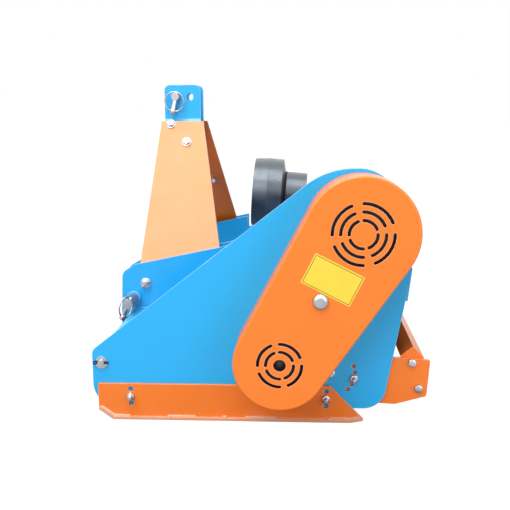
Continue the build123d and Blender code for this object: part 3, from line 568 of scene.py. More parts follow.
@dataclass(frozen=True)
class Finish:
    """What every finish has.

    Args:
        name: Name of the material.
        colour: Its main colour, linear.
    """

    name: str
    colour: Colour


@dataclass(frozen=True)
class PowderCoat(Finish):
    """Satin powder coat on steel sheet, paler along cut edges.

    Args:
        edge: Colour along cut edges.
        roughness: Mean roughness.
        dust: Amount of settled dust.
        rim: Distance from the middle plane in metres past which the coat shows a painted highlight, or 0.
        highlight_colour: Colour of that painted highlight.
        bounce: Colour that the coat shows in reflections and in the light it throws, a painted bounce light, or
            None.
    """

    edge: Colour
    roughness: float = 0.34
    dust: float = 0.10
    rim: float = 0.0
    highlight_colour: Colour = (0.64, 0.37, 0.25)
    bounce: Colour | None = None

    def build(self) -> Material:
        """The finished material."""
        surface = Surface(self.name, (shade(self.colour, 0.95), self.colour), 4.0,
                          (1400.0, 2.0), (0.0016, 1.0))
        surface.lay(surface.product(surface.cloud["Rubs"], 0.16), shade(self.colour, 0.72))
        # Painted highlight: a pale band on the coat past the rim, such as the proud edge of a skid's sole.
        if self.rim:
            across = surface.maths("SUBTRACT", surface.axes(surface.place())["Y"],
                                   float(ORIGIN[1]))
            sheen_band = surface.ranged(surface.maths("ABSOLUTE", across), self.rim, self.rim + 0.0006)
            broken = surface.ranged(surface.cloud["Tone"], 0.0, 1.0, 0.55, 1.0)
            surface.lay(surface.product(sheen_band, broken), self.highlight_colour)
        # Painted bounce light: reflections of the coat, and the light it throws, take this colour instead of its
        # own.
        if self.bounce:
            path = surface.path()
            thrown = surface.maths("MAXIMUM", path["Is Diffuse Ray"], path["Is Glossy Ray"])
            surface.lay(surface.product(thrown, 0.5), self.bounce)
        dust = surface.effect(EFFECTS.dust, Amount=self.dust)["Mask"]
        surface.lay(dust, PALE_DUST)
        # Paler cut edges: partly wear, partly painted highlight.
        surface.lay(surface.edge_wear_and_sheen_mask, self.edge)
        rough = surface.maths("ADD", surface.roughness(self.roughness, 0.05, 0.07),
                              surface.product(dust, 0.5))
        return surface.finished(rough, 0.00010, 0.0009, Coat_Weight=0.35, Coat_Roughness=0.16)


@dataclass(frozen=True)
class Metal(Finish):
    """Bare, plated or forged metal.

    Args:
        roughness: Mean roughness.
        stain: Colour that the cloud adds.
        grain: Scale of the relief.
        depth: Depth of the relief in metres.
    """

    roughness: float
    stain: Colour
    grain: float = 700.0
    depth: float = 0.00006

    def build(self) -> Material:
        """The finished material."""
        surface = Surface(self.name, (self.colour, self.stain), 30.0, (self.grain, 2.0),
                          (0.0007, 0.5))
        # Lighter edges: partly wear, partly painted highlight.
        surface.lay(surface.edge_wear_and_sheen_mask, shade(self.colour, 1.25))
        rough = surface.roughness(self.roughness, 0.07, 0.09)
        return surface.finished(rough, self.depth, 0.0006, Metallic=1.0)


@dataclass(frozen=True)
class Moulded(Finish):
    """Plastic, rubber or paint over rough iron: one dark colour with a relief.

    Args:
        roughness: Mean roughness.
        grain: Scale of the relief.
        depth: Depth of the relief in metres.
        edge: Colour along edges.
        dust: Amount of settled dust.
        gloss: Specular level, 0.5 for plain plastic.
        bend: Refractive index.
        tint: Colour of its gloss.
    """

    roughness: float
    grain: float
    depth: float
    edge: Colour
    dust: float = 0.12
    gloss: float = 0.5
    bend: float = 1.5
    tint: Colour = (1.0, 1.0, 1.0)

    def build(self) -> Material:
        """The finished material."""
        surface = Surface(self.name, (shade(self.colour, 0.75), self.colour), 12.0,
                          (self.grain, 5.0), (0.0010, 0.5))
        # Paler edges: partly wear, partly painted highlight.
        surface.lay(surface.edge_wear_and_sheen_mask, self.edge)
        surface.lay(surface.effect(EFFECTS.dust, Amount=self.dust)["Mask"], DARK_DUST)
        rough = surface.roughness(self.roughness, 0.06, 0.08)
        return surface.finished(rough, self.depth, 0.0010, Specular_IOR_Level=self.gloss,
                                Specular_Tint=(*self.tint, 1.0), IOR=self.bend)


@dataclass(frozen=True)
class BorderedPlate(Finish):
    """Printed metal plate, blank but for a thin line along its border.

    The line is where the least distance to the plate's sides, along its own axes, is close
    to the inset.

    Args:
        middle: Middle of the plate in metres.
        lean: Turn of the plate about Y, in degrees.
        half_width: Half of its longer side in metres.
        half_height: Half of its shorter side in metres.
        inset: Distance of the line from the sides.
        line: Half the width of the line.
    """

    middle: Place
    lean: float
    half_width: float
    half_height: float
    inset: float = 0.0030
    line: float = 0.00045

    def build(self) -> Material:
        """The finished material."""
        surface = Surface(self.name, (shade(self.colour, 0.94), self.colour), 40.0,
                          (900.0, 2.0), (0.0006, 0.6))
        own = surface.add("ShaderNodeMapping", {
            "Vector": surface.place(), "Location": self.middle,
            "Rotation": (0.0, radians(self.lean), 0.0)}, vector_type="TEXTURE")
        place = surface.axes(own.outputs[0])
        gaps = [surface.maths("SUBTRACT", half - self.inset,
                              surface.maths("ABSOLUTE", place[axis]))
                for axis, half in (("X", self.half_width), ("Z", self.half_height))]
        away = surface.maths("ABSOLUTE", surface.maths("MINIMUM", *gaps))
        surface.lay(surface.ranged(away, self.line + 0.0002, self.line), PRINT)
        # Pale plate edges: partly wear, partly painted highlight.
        surface.lay(surface.edge_wear_and_sheen_mask, PLATE_EDGE)
        return surface.finished(surface.roughness(0.36, 0.06, 0.06), 0.00003, 0.0003)


FINISHES = {
    # The blue coat throws a painted pinkish bounce light, not blue.
    "blue_plate": PowderCoat("blue_coat", (0.004, 0.43, 0.90), (0.42, 0.80, 1.0),
                             bounce=(0.30, 0.18, 0.20)),
    "orange_plate": PowderCoat("orange_coat", (0.95, 0.205, 0.007), (1.0, 0.66, 0.46)),
    "zinc_steel": Metal("zinc_plate", (0.58, 0.59, 0.61), 0.24, (0.40, 0.42, 0.46)),
    "bare_steel": Metal("machined_steel", (0.52, 0.53, 0.55), 0.30, (0.40, 0.38, 0.36)),
    "dark_casting": Moulded("black_casting", (0.030, 0.031, 0.034), 0.46, 260.0, 0.00035,
                            (0.10, 0.10, 0.11)),
    "rotor_black": Moulded("black_paint", (0.022, 0.022, 0.024), 0.38, 900.0, 0.00008,
                           (0.12, 0.11, 0.10)),
    "forged_flail": Metal("forged_steel", (0.20, 0.20, 0.21), 0.48, (0.11, 0.10, 0.09), 320.0,
                          0.0003),
    # The guard plastic's bluish gloss tint paints a bluish sky into its reflections.
    "black_plastic": Moulded("guard_plastic", (0.014, 0.019, 0.028), 0.33, 420.0, 0.00005,
                             (0.16, 0.18, 0.22), 0.03, 1.0, 1.55, (0.82, 0.91, 1.0)),
    "black_rubber": Moulded("rubber", (0.014, 0.014, 0.015), 0.62, 500.0, 0.00012,
                            (0.05, 0.05, 0.05)),
}


class Paintwork:
    """Finishes by material slot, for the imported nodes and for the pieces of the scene."""

    def __init__(self) -> None:
        """Builds each finish once."""
        self.materials = {slot: finish.build() for slot, finish in FINISHES.items()}
        orange = FINISHES["orange_plate"]
        # The skid coat is the orange coat darkened to 0.93 as painted shade, with a painted highlight on the
        # sole's edge.
        self.skid = PowderCoat("skid_coat_shaded", shade(orange.colour, 0.93), orange.edge, rim=0.5462,
                               dust=0.14).build()
        # Near-black matt finish, for the split pins and for the ring of painted shade on the guard's neck.
        self.dark = Moulded("near_black_matt", (0.006, 0.006, 0.008), 0.62, 420.0, 0.00004,
                            (0.02, 0.02, 0.024), 0.0, 0.3).build()

    def dress(self) -> None:
        """Puts each node's finish on it."""
        for node, piece in frame["nodes"].items():
            finish = self.skid if node.startswith("skid") else self.materials[MATERIAL_SLOT[node]]
            piece.data.materials.clear()
            piece.data.materials.append(finish)
            LOG.info("%s wears %s", node, finish.name)

    def piece(self, name: str, shells: Sequence[Shell], slot: str | None,
              body: Body = Body.FRAME, finish: Material | None = None) -> None:
        """Puts shells into the scene as a piece of the machine, unturned at the origin.

        Args:
            name: Plain name of the piece.
            shells: Its closed parts.
            slot: The record's material slot that it takes its finish from, or None.
            body: The body that it rides on.
            finish: Its material, where that isn't the slot's.
        """
        shell = joined(shells)
        mesh = bpy.data.meshes.new(name)
        mesh.from_pydata(shell.points.tolist(), [], shell.faces)
        mesh.polygons.foreach_set("use_smooth", np.ones(len(mesh.polygons), bool))
        mesh.set_sharp_from_angle(angle=radians(SHARP_ANGLE))
        mesh.materials.append(finish or self.materials[slot])
        mesh.update()
        piece = linked(name, mesh)
        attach(piece, body.value)
        LOG.info("%s: %d faces on %s", name, len(mesh.polygons), body.value)


@dataclass(frozen=True)
class Hex:
    """Hex bolt with a flange under its head, in millimetres.

    Args:
        across: Size across the flats.
        height: Height of the head or nut.
        flange: Radius of the flange.
        thread: Radius of the thread.
    """

    across: float
    height: float
    flange: float
    thread: float

    def base(self) -> Shell:
        """Flange that rises to the hexagon."""
        return turned([(self.flange - 0.4, 0), (self.flange, 0.5), (self.flange, 1.4),
                       (0.53 * self.across, 2.6)])

    def head(self) -> Shell:
        """Flanged head with its seat at Z = 0."""
        return joined([self.base(), hexagon(self.across, self.height - 2, start=2)])

    def nut(self) -> Shell:
        """Flanged nut with the bolt's end standing out of it."""
        return joined([self.head(), threaded(self.thread, self.height + 1.6 * self.thread, 2)])


M8 = Hex(13.0, 6.5, 8.4, 4.0)
M10 = Hex(14.5, 7.5, 7.9, 4.6)
M12 = Hex(18.5, 9.0, 12.4, 6.0)


def dome(radius: float, height: float) -> Shell:
    """Low round head: radius R cos a and height H sin a over a short rim."""
    arc = np.linspace(0, 80, 7)
    rows = [(radius * cos(radians(a)), 0.8 + height * sin(radians(a))) for a in arc]
    return turned([(radius, 0), *rows], 24)


@dataclass(frozen=True)
class PlateBolts:
    """Bolts through upright plates, alike on both sides of the machine.

    Args:
        name: Plain name of the set.
        holes: (X, Z) of each bolt.
        outer: Distance of the outer seat from the middle plane.
        inner: Distance of the inner seat.
        size: Size of the bolts.
        nut_outside: The nut is outside and a low round head is inside.
    """

    name: str
    holes: tuple[Spot, ...]
    outer: float
    inner: float
    size: Hex = M10
    nut_outside: bool = False

    def build(self, paintwork: Paintwork) -> None:
        """Makes the head and nut of each bolt on each side, the next one turned further."""
        outside, inside = self.size.head(), self.size.nut()
        if self.nut_outside:
            outside, inside = inside, dome(0.6 * self.size.across, 2.4)
        made = []
        for side in SIDES:
            for number, (x, z) in enumerate(self.holes):
                for shell, seat, way in ((outside, self.outer, side), (inside, self.inner, -side)):
                    made.append(shell.seated(at(x, side * seat, z), (0, way, 0), 8 + 21 * number))
        paintwork.piece(self.name, made, "zinc_steel")


FRAME_BOLTS = (
    PlateBolts("skid_bolts", ((-303.0, 48.4), (89.8, 48.4)), SKID_FACE, SIDE_INNER,
               nut_outside=True),
    PlateBolts("bracket_bolts", ((259.0, 121.3), (272.8, 68.7)), SIDE_INNER, 522.0),
    PlateBolts("adjuster_bolts", ((145.1, 89.4), (99.0, 100.0)), 540.0, 528.0, M10, True),
    PlateBolts("link_bolts", ((-316.0, 227.9), (-175.0, 238.0)), LINK_FACE, 280.0, M12),
)


@dataclass
class Mast:
    """Bolts of the slanting legs, which hold the ears at the head.

    Args:
        tab_y: Distance of the upright tab's inner face from the middle plane.
        head_y: The same at the upper bend.
        bend_z: Height of the lower bend.
        head_z: Height of the upper bend.
        sheet: Thickness of a leg.
        ear: Thickness of an ear.
        leg_bolts: (X, Z) of the bolts through leg and ear.
        far_bolt: (X, Z) of the single bolt through the far leg.
    """

    tab_y: float = 280.0
    head_y: float = 33.0
    bend_z: float = 262.0
    head_z: float = 598.0
    sheet: float = 8.0
    ear: float = 7.0
    leg_bolts: tuple[Spot, ...] = ((-289.3, 585.1), (-245.8, 541.2))
    far_bolt: Spot = (-206.9, 436.1)

    def seat(self, x: float, z: float, side: int, depth: float) -> tuple[np.ndarray, np.ndarray]:
        """Point on a leg, a depth outside the inner face, and the way out of the leg.

        Args:
            x: Place along X.
            z: Height on the leg's outer face.
            side: -1 on the belt side, 1 on the far side.
            depth: Distance from the inner face, less than nought inside.

        Returns:
            The point in metres and the unit normal.
        """
        run, rise = self.tab_y - self.head_y, self.head_z - self.bend_z
        slope = hypot(run, rise)
        normal = np.array([0, side * rise / slope, run / slope])
        away = self.tab_y - (z - self.bend_z) * run / rise + self.sheet * slope / rise
        return at(x, side * away, z) + MM * (depth - self.sheet) * normal, normal

    def build(self, paintwork: Paintwork) -> None:
        """Makes the bolts."""
        made = []
        for side in SIDES:
            bolts = [(*place, -self.ear) for place in self.leg_bolts]
            if side > 0:
                bolts.append((*self.far_bolt, 0.0))
            for number, (x, z, inner) in enumerate(bolts):
                size = M10 if inner == 0 else M12
                place, normal = self.seat(x, z, side, self.sheet)
                made.append(size.head().seated(place, normal, 10 + 17 * number))
                place, normal = self.seat(x, z, side, inner)
                made.append(size.nut().seated(place, -normal, 25))
        paintwork.piece("mast_bolts", made, "zinc_steel")


@dataclass
class LinchPin:
    """Pin through a link pin's cross hole, locked by its spring ring.

    Args:
        name: Plain name of the piece.
        hole: Middle of the cross hole.
        lean: Lean of the shank to the rear, in degrees.
        ring: Radius of the ring.
        turn: Turn of the ring about the shank, in degrees.
        tilt: Lean of the ring away from the machine, in degrees.
        swing: Lean of the ring in its own plane, in degrees.
        above: Reach of the shank above the hole's middle.
        below: Distance of the head's middle below it.
        shank: Radius of the shank.
        wire: Radius of the ring's wire.
    """

    name: str
    hole: Place
    lean: float
    ring: float
    turn: float
    tilt: float
    swing: float
    above: float = 14.0
    below: float = 36.0
    shank: float = 4.7
    wire: float = 1.6

    def build(self, paintwork: Paintwork) -> None:
        """Shank and head turned about the cross hole, and the ring through the head."""
        side = np.sign(self.hole[1])
        foot = -self.below
        shank = turned([
            (3.0, foot - 6.5), (6.2, foot - 5.6), (7.2, foot - 3), (7.2, foot + 3),
            (6.2, foot + 5.4), (self.shank, foot + 6.4), (self.shank, self.above - 5),
            (0.8 * self.shank, self.above - 1.6), (0.4 * self.shank, self.above),
        ])
        hole, leaned = at(*self.hole), spun("Y", self.lean)
        ring = torus(self.ring, self.wire).placed(np.array([0, 0, MM * self.ring]), spun("X", 90))
        turn = spun("Z", -side * self.turn) @ spun("Y", self.swing) @ spun("X", -side * self.tilt)
        ring = ring.placed(hole + MM * leaned @ np.array([0, 0, foot]), turn)
        paintwork.piece(self.name, [shank.placed(hole, leaned), ring], "zinc_steel")


@dataclass
class HitchPins:
    """Linch pins, the blue bosses round the lower link pins and the flap rod's split pins.

    Args:
        boss_radius: Outer radius of a boss.
        boss_depth: Length of a boss.
        pin_radius: Radius of the lower link pin.
        link_pin: (X, Z) of the lower link pins.
        hole_y: Distance of their cross holes from the middle plane.
        rod: (X, Z) of the flap rod.
        split_y: Distance of the split pins from the middle plane.
    """

    boss_radius: float = 15.8
    boss_depth: float = 10.2
    pin_radius: float = 11.0
    link_pin: Spot = (-343.7, 195.5)
    hole_y: float = 356.0
    rod: Spot = (-362.0, 116.5)
    split_y: float = 544.6

    def boss(self, side: int) -> Shell:
        """Thin cap over the link pin's collar."""
        inner, bore = self.boss_radius - 0.6, self.pin_radius + 0.2
        rim = self.boss_depth + 0.2
        cap = turned([
            (inner, 0), (self.boss_radius, 0), (self.boss_radius, rim - 1.0),
            (self.boss_radius - 1, rim), (bore, rim), (bore, rim - 0.3), (inner, rim - 0.3),
        ], 40, ring=True)
        x, z = self.link_pin
        return cap.seated(at(x, side * LINK_FACE, z), (0, side, 0))

    def split_pin(self, side: int) -> list[Shell]:
        """Wire pin across the rod's end: an eye, a straight shank and two spread legs."""
        x, z = self.rod
        y = side * self.split_y
        eye = torus(2.9, 1.3).placed(at(x - 12.2, y, z), spun("X", 90))
        shank = rod_between(at(x - 10.5, y, z), at(x + 11.5, y, z), 2.2)
        legs = [rod_between(at(x + 10.5, y, z), at(x + 14.5, y, z + lift), 1.3)
                for lift in (-1.8, 1.8)]
        return [eye, shank, *legs]

    def build(self, paintwork: Paintwork) -> None:
        """Makes the pins and bosses of both sides."""
        LinchPin("linch_pin_top", (-277.2, -44, 652.2), lean=13, ring=24, turn=0, tilt=8,
                 swing=12, shank=6.0).build(paintwork)
        x, z = self.link_pin
        for label, side in (("belt", -1), ("far", 1)):
            LinchPin(f"linch_pin_{label}", (x, side * self.hole_y, z), lean=25, ring=23.5,
                     turn=66, tilt=2, swing=30, wire=1.9).build(paintwork)
        paintwork.piece("link_bosses", [self.boss(side) for side in SIDES], "blue_plate")
        paintwork.piece("split_pins", [part for side in SIDES for part in self.split_pin(side)],
                        "rotor_black", finish=paintwork.dark)


@dataclass
class Welds:
    """Weld beads on the hood, the link plates and the skids.

    Args:
        hood: (X, Z) of the hood's outer bends, front to rear.
        link_run: (X, Z) of the run round a link plate's foot.
        plate_faces: Distances of the link plates' faces from the middle plane.
        sole: (X, Z) of the top of the skid's sole.
        stitches: First and last X of each stitch on the sole.
        hood_stitch: Length of a stitch on the hood.
        hood_pitch: Distance between the starts of two such stitches.
    """

    hood: tuple[Spot, ...] = (
        (-306.0, 159.5), (-118.0, 232.0), (30.0, 326.9), (255.2, 309.2))
    link_run: tuple[Spot, ...] = (
        (-342.5, 137.0), (-342.5, 169.8), (-306.0, 170.0), (-306.0, 160.5), (-121.0, 231.2))
    plate_faces: tuple[float, ...] = (LINK_FACE, 288.0, 235.0, 227.0)
    sole: tuple[Spot, ...] = (
        (-366.2, 26.4), (-337.7, 6.0), (137.0, 6.0), (163.0, 11.0))
    stitches: tuple[Spot, ...] = (
        (-366.0, -303.7), (-230.0, -171.0), (-118.0, -108.0), (-72.0, -8.0), (94.0, 158.0))
    hood_stitch: float = 42.0
    hood_pitch: float = 96.0

    def sole_stitches(self, side: int) -> list[Shell]:
        """Beads in the corner between a skid's upright and its sole."""
        xs, zs = zip(*self.sole)
        y = side * SKID_FACE
        made = []
        for first, last in self.stitches:
            bends = [x for x in xs if first < x < last]
            run = [(x, y, float(np.interp(x, xs, zs))) for x in (first, *bends, last)]
            made.append(bead(run, 4.6))
        return made

    def hood_stitches(self, side: int) -> list[Shell]:
        """Short beads between the hood's outside and a side plate."""
        made = []
        for (ax, az), (bx, bz) in zip(self.hood, self.hood[1:]):
            run = hypot(bx - ax, bz - az)
            count = max(1, int(run / self.hood_pitch))
            spare = (run - self.hood_stitch) / count / run
            for i in range(count + 1):
                ends = (i * spare, i * spare + self.hood_stitch / run)
                made.append(bead([(ax + share * (bx - ax), side * SIDE_INNER,
                                   az + share * (bz - az)) for share in ends], 3.0))
        return made

    def build(self, paintwork: Paintwork) -> None:
        """Makes the beads in the paint of what they join."""
        blue = [bead([(x, side * y, z) for x, z in self.link_run], 3.2)
                for side in SIDES for y in self.plate_faces]
        blue += [weld for side in SIDES for weld in self.hood_stitches(side)]
        orange = [weld for side in SIDES for weld in self.sole_stitches(side)]
        paintwork.piece("hood_welds", blue, "blue_plate")
        paintwork.piece("skid_welds", orange, "orange_plate", finish=paintwork.skid)


@dataclass
class CoverPlate:
    """Blank yellow plate on the belt cover's face.

    Args:
        middle: Its middle in machine millimetres.
        width: Its longer side.
        height: Its shorter side.
        lean: Fall of the longer side to the rear, in degrees.
        thick: Its thickness.
    """

    middle: Place = (97.4, -635.0, 308.1)
    width: float = 101.0
    height: float = 61.5
    lean: float = 27.0
    thick: float = 0.6

    def build(self, paintwork: Paintwork) -> None:
        """Makes the plate and its finish, whose border follows its edges."""
        middle = at(*self.middle)
        shell = block(self.width, self.height, self.thick, 2.0, 0.2)
        finish = BorderedPlate("yellow_plate", (0.93, 0.66, 0.055), tuple(middle), self.lean,
                               MM * self.width / 2, MM * self.height / 2).build()
        paintwork.piece("cover_plate", [shell.placed(middle, spun("Y", self.lean) @ facing(BELT))],
                        None, finish=finish)


@dataclass
class RotorTrim:
    """Bolts of the flails' pins, and the bolts in the ends of the rotor and the cross shaft.

    Args:
        pin_circle: Radius of the circle of the flails' pins.
        first_y: Distance of the outermost flail from the middle plane.
        count: Number of flails.
        step: Turn from one flail to the next, in degrees.
        lug_face: Distance of a lug's outer face from its flail's middle.
        shaft_y: Distance of the shafts' ends from the middle plane.
        size: Size of the flails' bolts.
    """

    pin_circle: float = 66.0
    first_y: float = 501.0
    count: int = 20
    step: float = 126.0
    lug_face: float = 14.8
    shaft_y: float = 613.0
    size: Hex = Hex(17.0, 6.0, 9.6, 5.0)

    def flail_bolts(self) -> list[Shell]:
        """A head on each side of each flail, on the helix that the flails follow."""
        made = []
        for i in range(self.count):
            angle = radians(i * self.step)
            x, z = self.pin_circle * sin(angle), ROTOR_Z + self.pin_circle * cos(angle)
            y = -self.first_y + i * 2 * self.first_y / (self.count - 1)
            made += [self.size.head().seated(at(x, y + side * self.lug_face, z), (0, side, 0),
                                             31 * i) for side in SIDES]
        return made

    def build(self, paintwork: Paintwork) -> None:
        """Makes the bolts that turn with the rotor and with the cross shaft."""
        paintwork.piece("flail_bolts", self.flail_bolts(), "bare_steel", Body.ROTOR)
        washer = turned([(15.4, 0), (16, 0.5), (16, 2.3), (15.4, 2.8)], 36)
        end = joined([washer, hexagon(19, 8, start=2.8)])
        for name, body, (x, z) in (("rotor_end_bolt", Body.ROTOR, (0, ROTOR_Z)),
                                   ("drive_end_bolt", Body.DRIVE, CROSS_SHAFT)):
            paintwork.piece(name, [end.seated(at(x, -self.shaft_y, z), BELT, 12)],
                            "rotor_black", body)


@dataclass(frozen=True)
class Cover:
    """Round cover on a face of the gearbox, with six bolts.

    Args:
        way: Way that it faces.
        face: Distance of its seat from the crossing of the shafts.
        radius: Its outer radius.
        depth: Its thickness.
        circle: Radius of the bolts' circle.
        bore: Radius of the hole in it, or 0 for a closed cover with a raised middle.
    """

    way: Place
    face: float
    radius: float
    depth: float
    circle: float
    bore: float = 0.0

    def shell(self) -> Shell:
        """The cover with its seat at Z = 0."""
        radius, depth = self.radius, self.depth
        profile = [(radius, 0), (radius, depth - 1), (radius - 1, depth)]
        if self.bore:
            return turned([(self.bore, 0), *profile, (self.bore, depth)], 48, ring=True)
        raised = [(0.55 * radius, depth), (0.48 * radius, depth + 3), (0.2 * radius, depth + 3)]
        return turned(profile + raised, 48)


@dataclass
class GearboxTrim:
    """Covers, plugs and bolts of the gearbox, the guard's seam, and a near-black ring of painted shade on its
    neck.

    All are placed in the gearbox's own tilted frame, with its origin where the shafts cross.

    Args:
        tilt: Fall of its length to the rear, in degrees.
        top: Height of its top.
        foot_bolt: Place of a foot bolt on the foot's top.
        covers: Its round covers.
        shade_ring: Rear and front end of the near-black ring of painted shade on the guard's neck, in front of the
            origin.
        neck_radius: Radius of the neck.
        seam: Distance of the guard's seam in front of the origin.
        seam_radius: Radius of the guard there.
    """

    tilt: float = 4.5
    top: float = 56.0
    foot_bolt: Place = (50.0, 66.0, -42.0)
    covers: tuple[Cover, ...] = (
        Cover(REAR, 62.0, 40.0, 6.0, 32.0), Cover(FAR, 56.0, 44.0, 8.0, 36.0),
        Cover(BELT, 62.0, 52.0, 7.0, 45.0, 38.2))
    shade_ring: Spot = (155.0, 159.0)
    neck_radius: float = 57.5
    seam: float = 202.0
    seam_radius: float = 89.0

    def fitted(self, shell: Shell, place: Sequence[float], way: Place, spin: float = 0.0) -> Shell:
        """A shell at a place of the gearbox's frame, facing a way there."""
        turn = spun("Y", self.tilt)
        middle = at(CROSS_SHAFT[0], 0.0, CROSS_SHAFT[1])
        return shell.placed(middle + MM * turn @ np.array(place), turn @ facing(way, spin))

    def cast(self) -> list[Shell]:
        """The covers and two ribs on the top."""
        made = [self.fitted(cover.shell(), cover.face * np.array(cover.way), cover.way)
                for cover in self.covers]
        return made + [self.fitted(block(70, 5, 6, 2.0), (y / 4, y, self.top - 1), UP, 90)
                       for y in (-24, 24)]

    def bolts(self) -> list[Shell]:
        """Bolts round each cover and on the foot, and the plug on the top."""
        made = []
        for cover in self.covers:
            seat = (cover.face + cover.depth) * np.array(cover.way)
            for i, angle in enumerate(around(6) + pi / 6):
                spot = facing(cover.way) @ (cover.circle * np.array([cos(angle), sin(angle), 0]))
                made.append(self.fitted(M8.head(), seat + spot, cover.way, 20 * i))
        x, y, z = self.foot_bolt
        made += [self.fitted(M8.head(), (side_x * x, side_y * y, z), UP, 15)
                 for side_x in SIDES for side_y in SIDES]
        plug = joined([turned([(10, 0), (10, 3), (9, 4)]), hexagon(17, 9, start=3.5)])
        return [*made, self.fitted(plug, (-6, 0, self.top), UP, 5)]

    def band(self, radius: float, start: float, profile: Sequence[Spot], sides: int) -> Shell:
        """Closed profile turned about the input shaft, from a start on to the front."""
        rows = [(radius + rise, level) for rise, level in profile]
        return self.fitted(turned(rows, sides, ring=True), (-start, 0, 0), FRONT)

    def build(self, paintwork: Paintwork) -> None:
        """Makes the guard's ring of painted shade and its seam, the cast covers and the zinc bolts."""
        start, end = self.shade_ring
        # Near-black band over the neck beside the drum: painted shade, not a real part.
        shade_ring_profile = [(0.1, 0), (0.8, 0.5), (0.8, end - start - 0.5), (0.1, end - start)]
        ridge = [(-0.6, -1.3), (0.35, -0.8), (0.35, 0.8), (-0.6, 1.3)]
        paintwork.piece("guard_shade_ring", [self.band(self.neck_radius, start, shade_ring_profile, 72)],
                        "black_rubber", finish=paintwork.dark)
        paintwork.piece("gearbox_covers", self.cast(), "dark_casting")
        paintwork.piece("gearbox_bolts", self.bolts(), "zinc_steel")
        paintwork.piece("guard_seam", [self.band(self.seam_radius, self.seam, ridge, 96)],
                        "black_plastic")


@dataclass
class HousingBolts:
    """Bolts and grease nipples of the bearing housings, and the curtain's clamp.

    Args:
        far_face: Distance of the far housing's face from the middle plane.
        circle: Radius of its bolts' circle.
        flange_y: Distance of the cross tube's flange from the middle plane.
        flange_circle: Radius of its bolts' circle.
        nipples: Places of the grease nipples.
        clamp: (X, Z) on the hood's tail, at the middle of the curtain's clamp.
        clamp_way: Way out of the tail there.
        clamp_count: Number of bolts along the clamp.
        clamp_pitch: Distance between them.
        tail: Thickness of what the clamp's bolts go through.
    """

    far_face: float = 554.0
    circle: float = 42.0
    flange_y: float = -526.0
    flange_circle: float = 46.5
    nipples: tuple[Place, ...] = ((0.0, 561.0, 177.5), (152.3, -470.0, 429.3))
    clamp: Spot = (249.25, 262.0)
    clamp_way: Place = (0.992, 0.0, -0.125)
    clamp_count: int = 8
    clamp_pitch: float = 130.0
    tail: float = 9.7

    def build(self, paintwork: Paintwork) -> None:
        """Makes the bolts, the nipples and the clamp bar."""
        made = []
        for size, count, radius, y, (x, z), step in (
                (M10, 4, self.circle, self.far_face, (0, ROTOR_Z), 13),
                (M8, 6, self.flange_circle, self.flange_y, CROSS_SHAFT, 17)):
            for i, angle in enumerate(around(count) + pi / count):
                seat = at(x + radius * cos(angle), y, z + radius * sin(angle))
                made.append(size.head().seated(seat, FAR, step * i))
        nipple = joined([hexagon(7, 3.5), turned([(2.4, 3), (2.4, 6), (1.4, 7), (2.2, 8.5),
                                                  (1.2, 10)], 16)])
        made += [nipple.seated(at(*place), UP) for place in self.nipples]
        x, z = self.clamp
        span = self.clamp_pitch * (self.clamp_count - 1)
        made += [dome(8.5, 3.2).seated(at(x, i * self.clamp_pitch - span / 2, z), self.clamp_way)
                 for i in range(self.clamp_count)]
        bar = block(span + 60, 24, 4, 3).seated(at(x - self.tail, 0, z + 1),
                                                -np.array(self.clamp_way))
        paintwork.piece("housing_bolts", made, "zinc_steel")
        paintwork.piece("curtain_clamp", [bar], "zinc_steel")


@dataclass(frozen=True)
class Lamp:
    """Square soft box.

    Args:
        name: Name of the lamp.
        place: Its middle in machine millimetres.
        aim: The point that it faces.
        size: Side in metres.
        power: Power in watts.
    """

    name: str
    place: Place
    aim: Place
    size: float
    power: float

    def build(self) -> None:
        """Hangs the lamp."""
        data = bpy.data.lights.new(self.name, "AREA")
        data.size, data.energy = self.size, self.power
        place = at(*self.place)
        linked(self.name, data).matrix_world = posed(place, facing(place - at(*self.aim)))


LAMPS = (
    Lamp("key", (-670, -1330, 3350), (-100, -300, 300), 2.4, 96.0),
    Lamp("front", (-1400, -3300, 2000), (0, 0, 300), 2.0, 42.0),
    Lamp("fill", (1700, -2500, 800), (200, -400, 200), 1.4, 15.0),
)


def posed(place: np.ndarray, turn: np.ndarray) -> Matrix:
    """Matrix that turns an object and moves it to a place in metres."""
    return Matrix.Translation(place) @ Matrix(turn.tolist()).to_4x4()


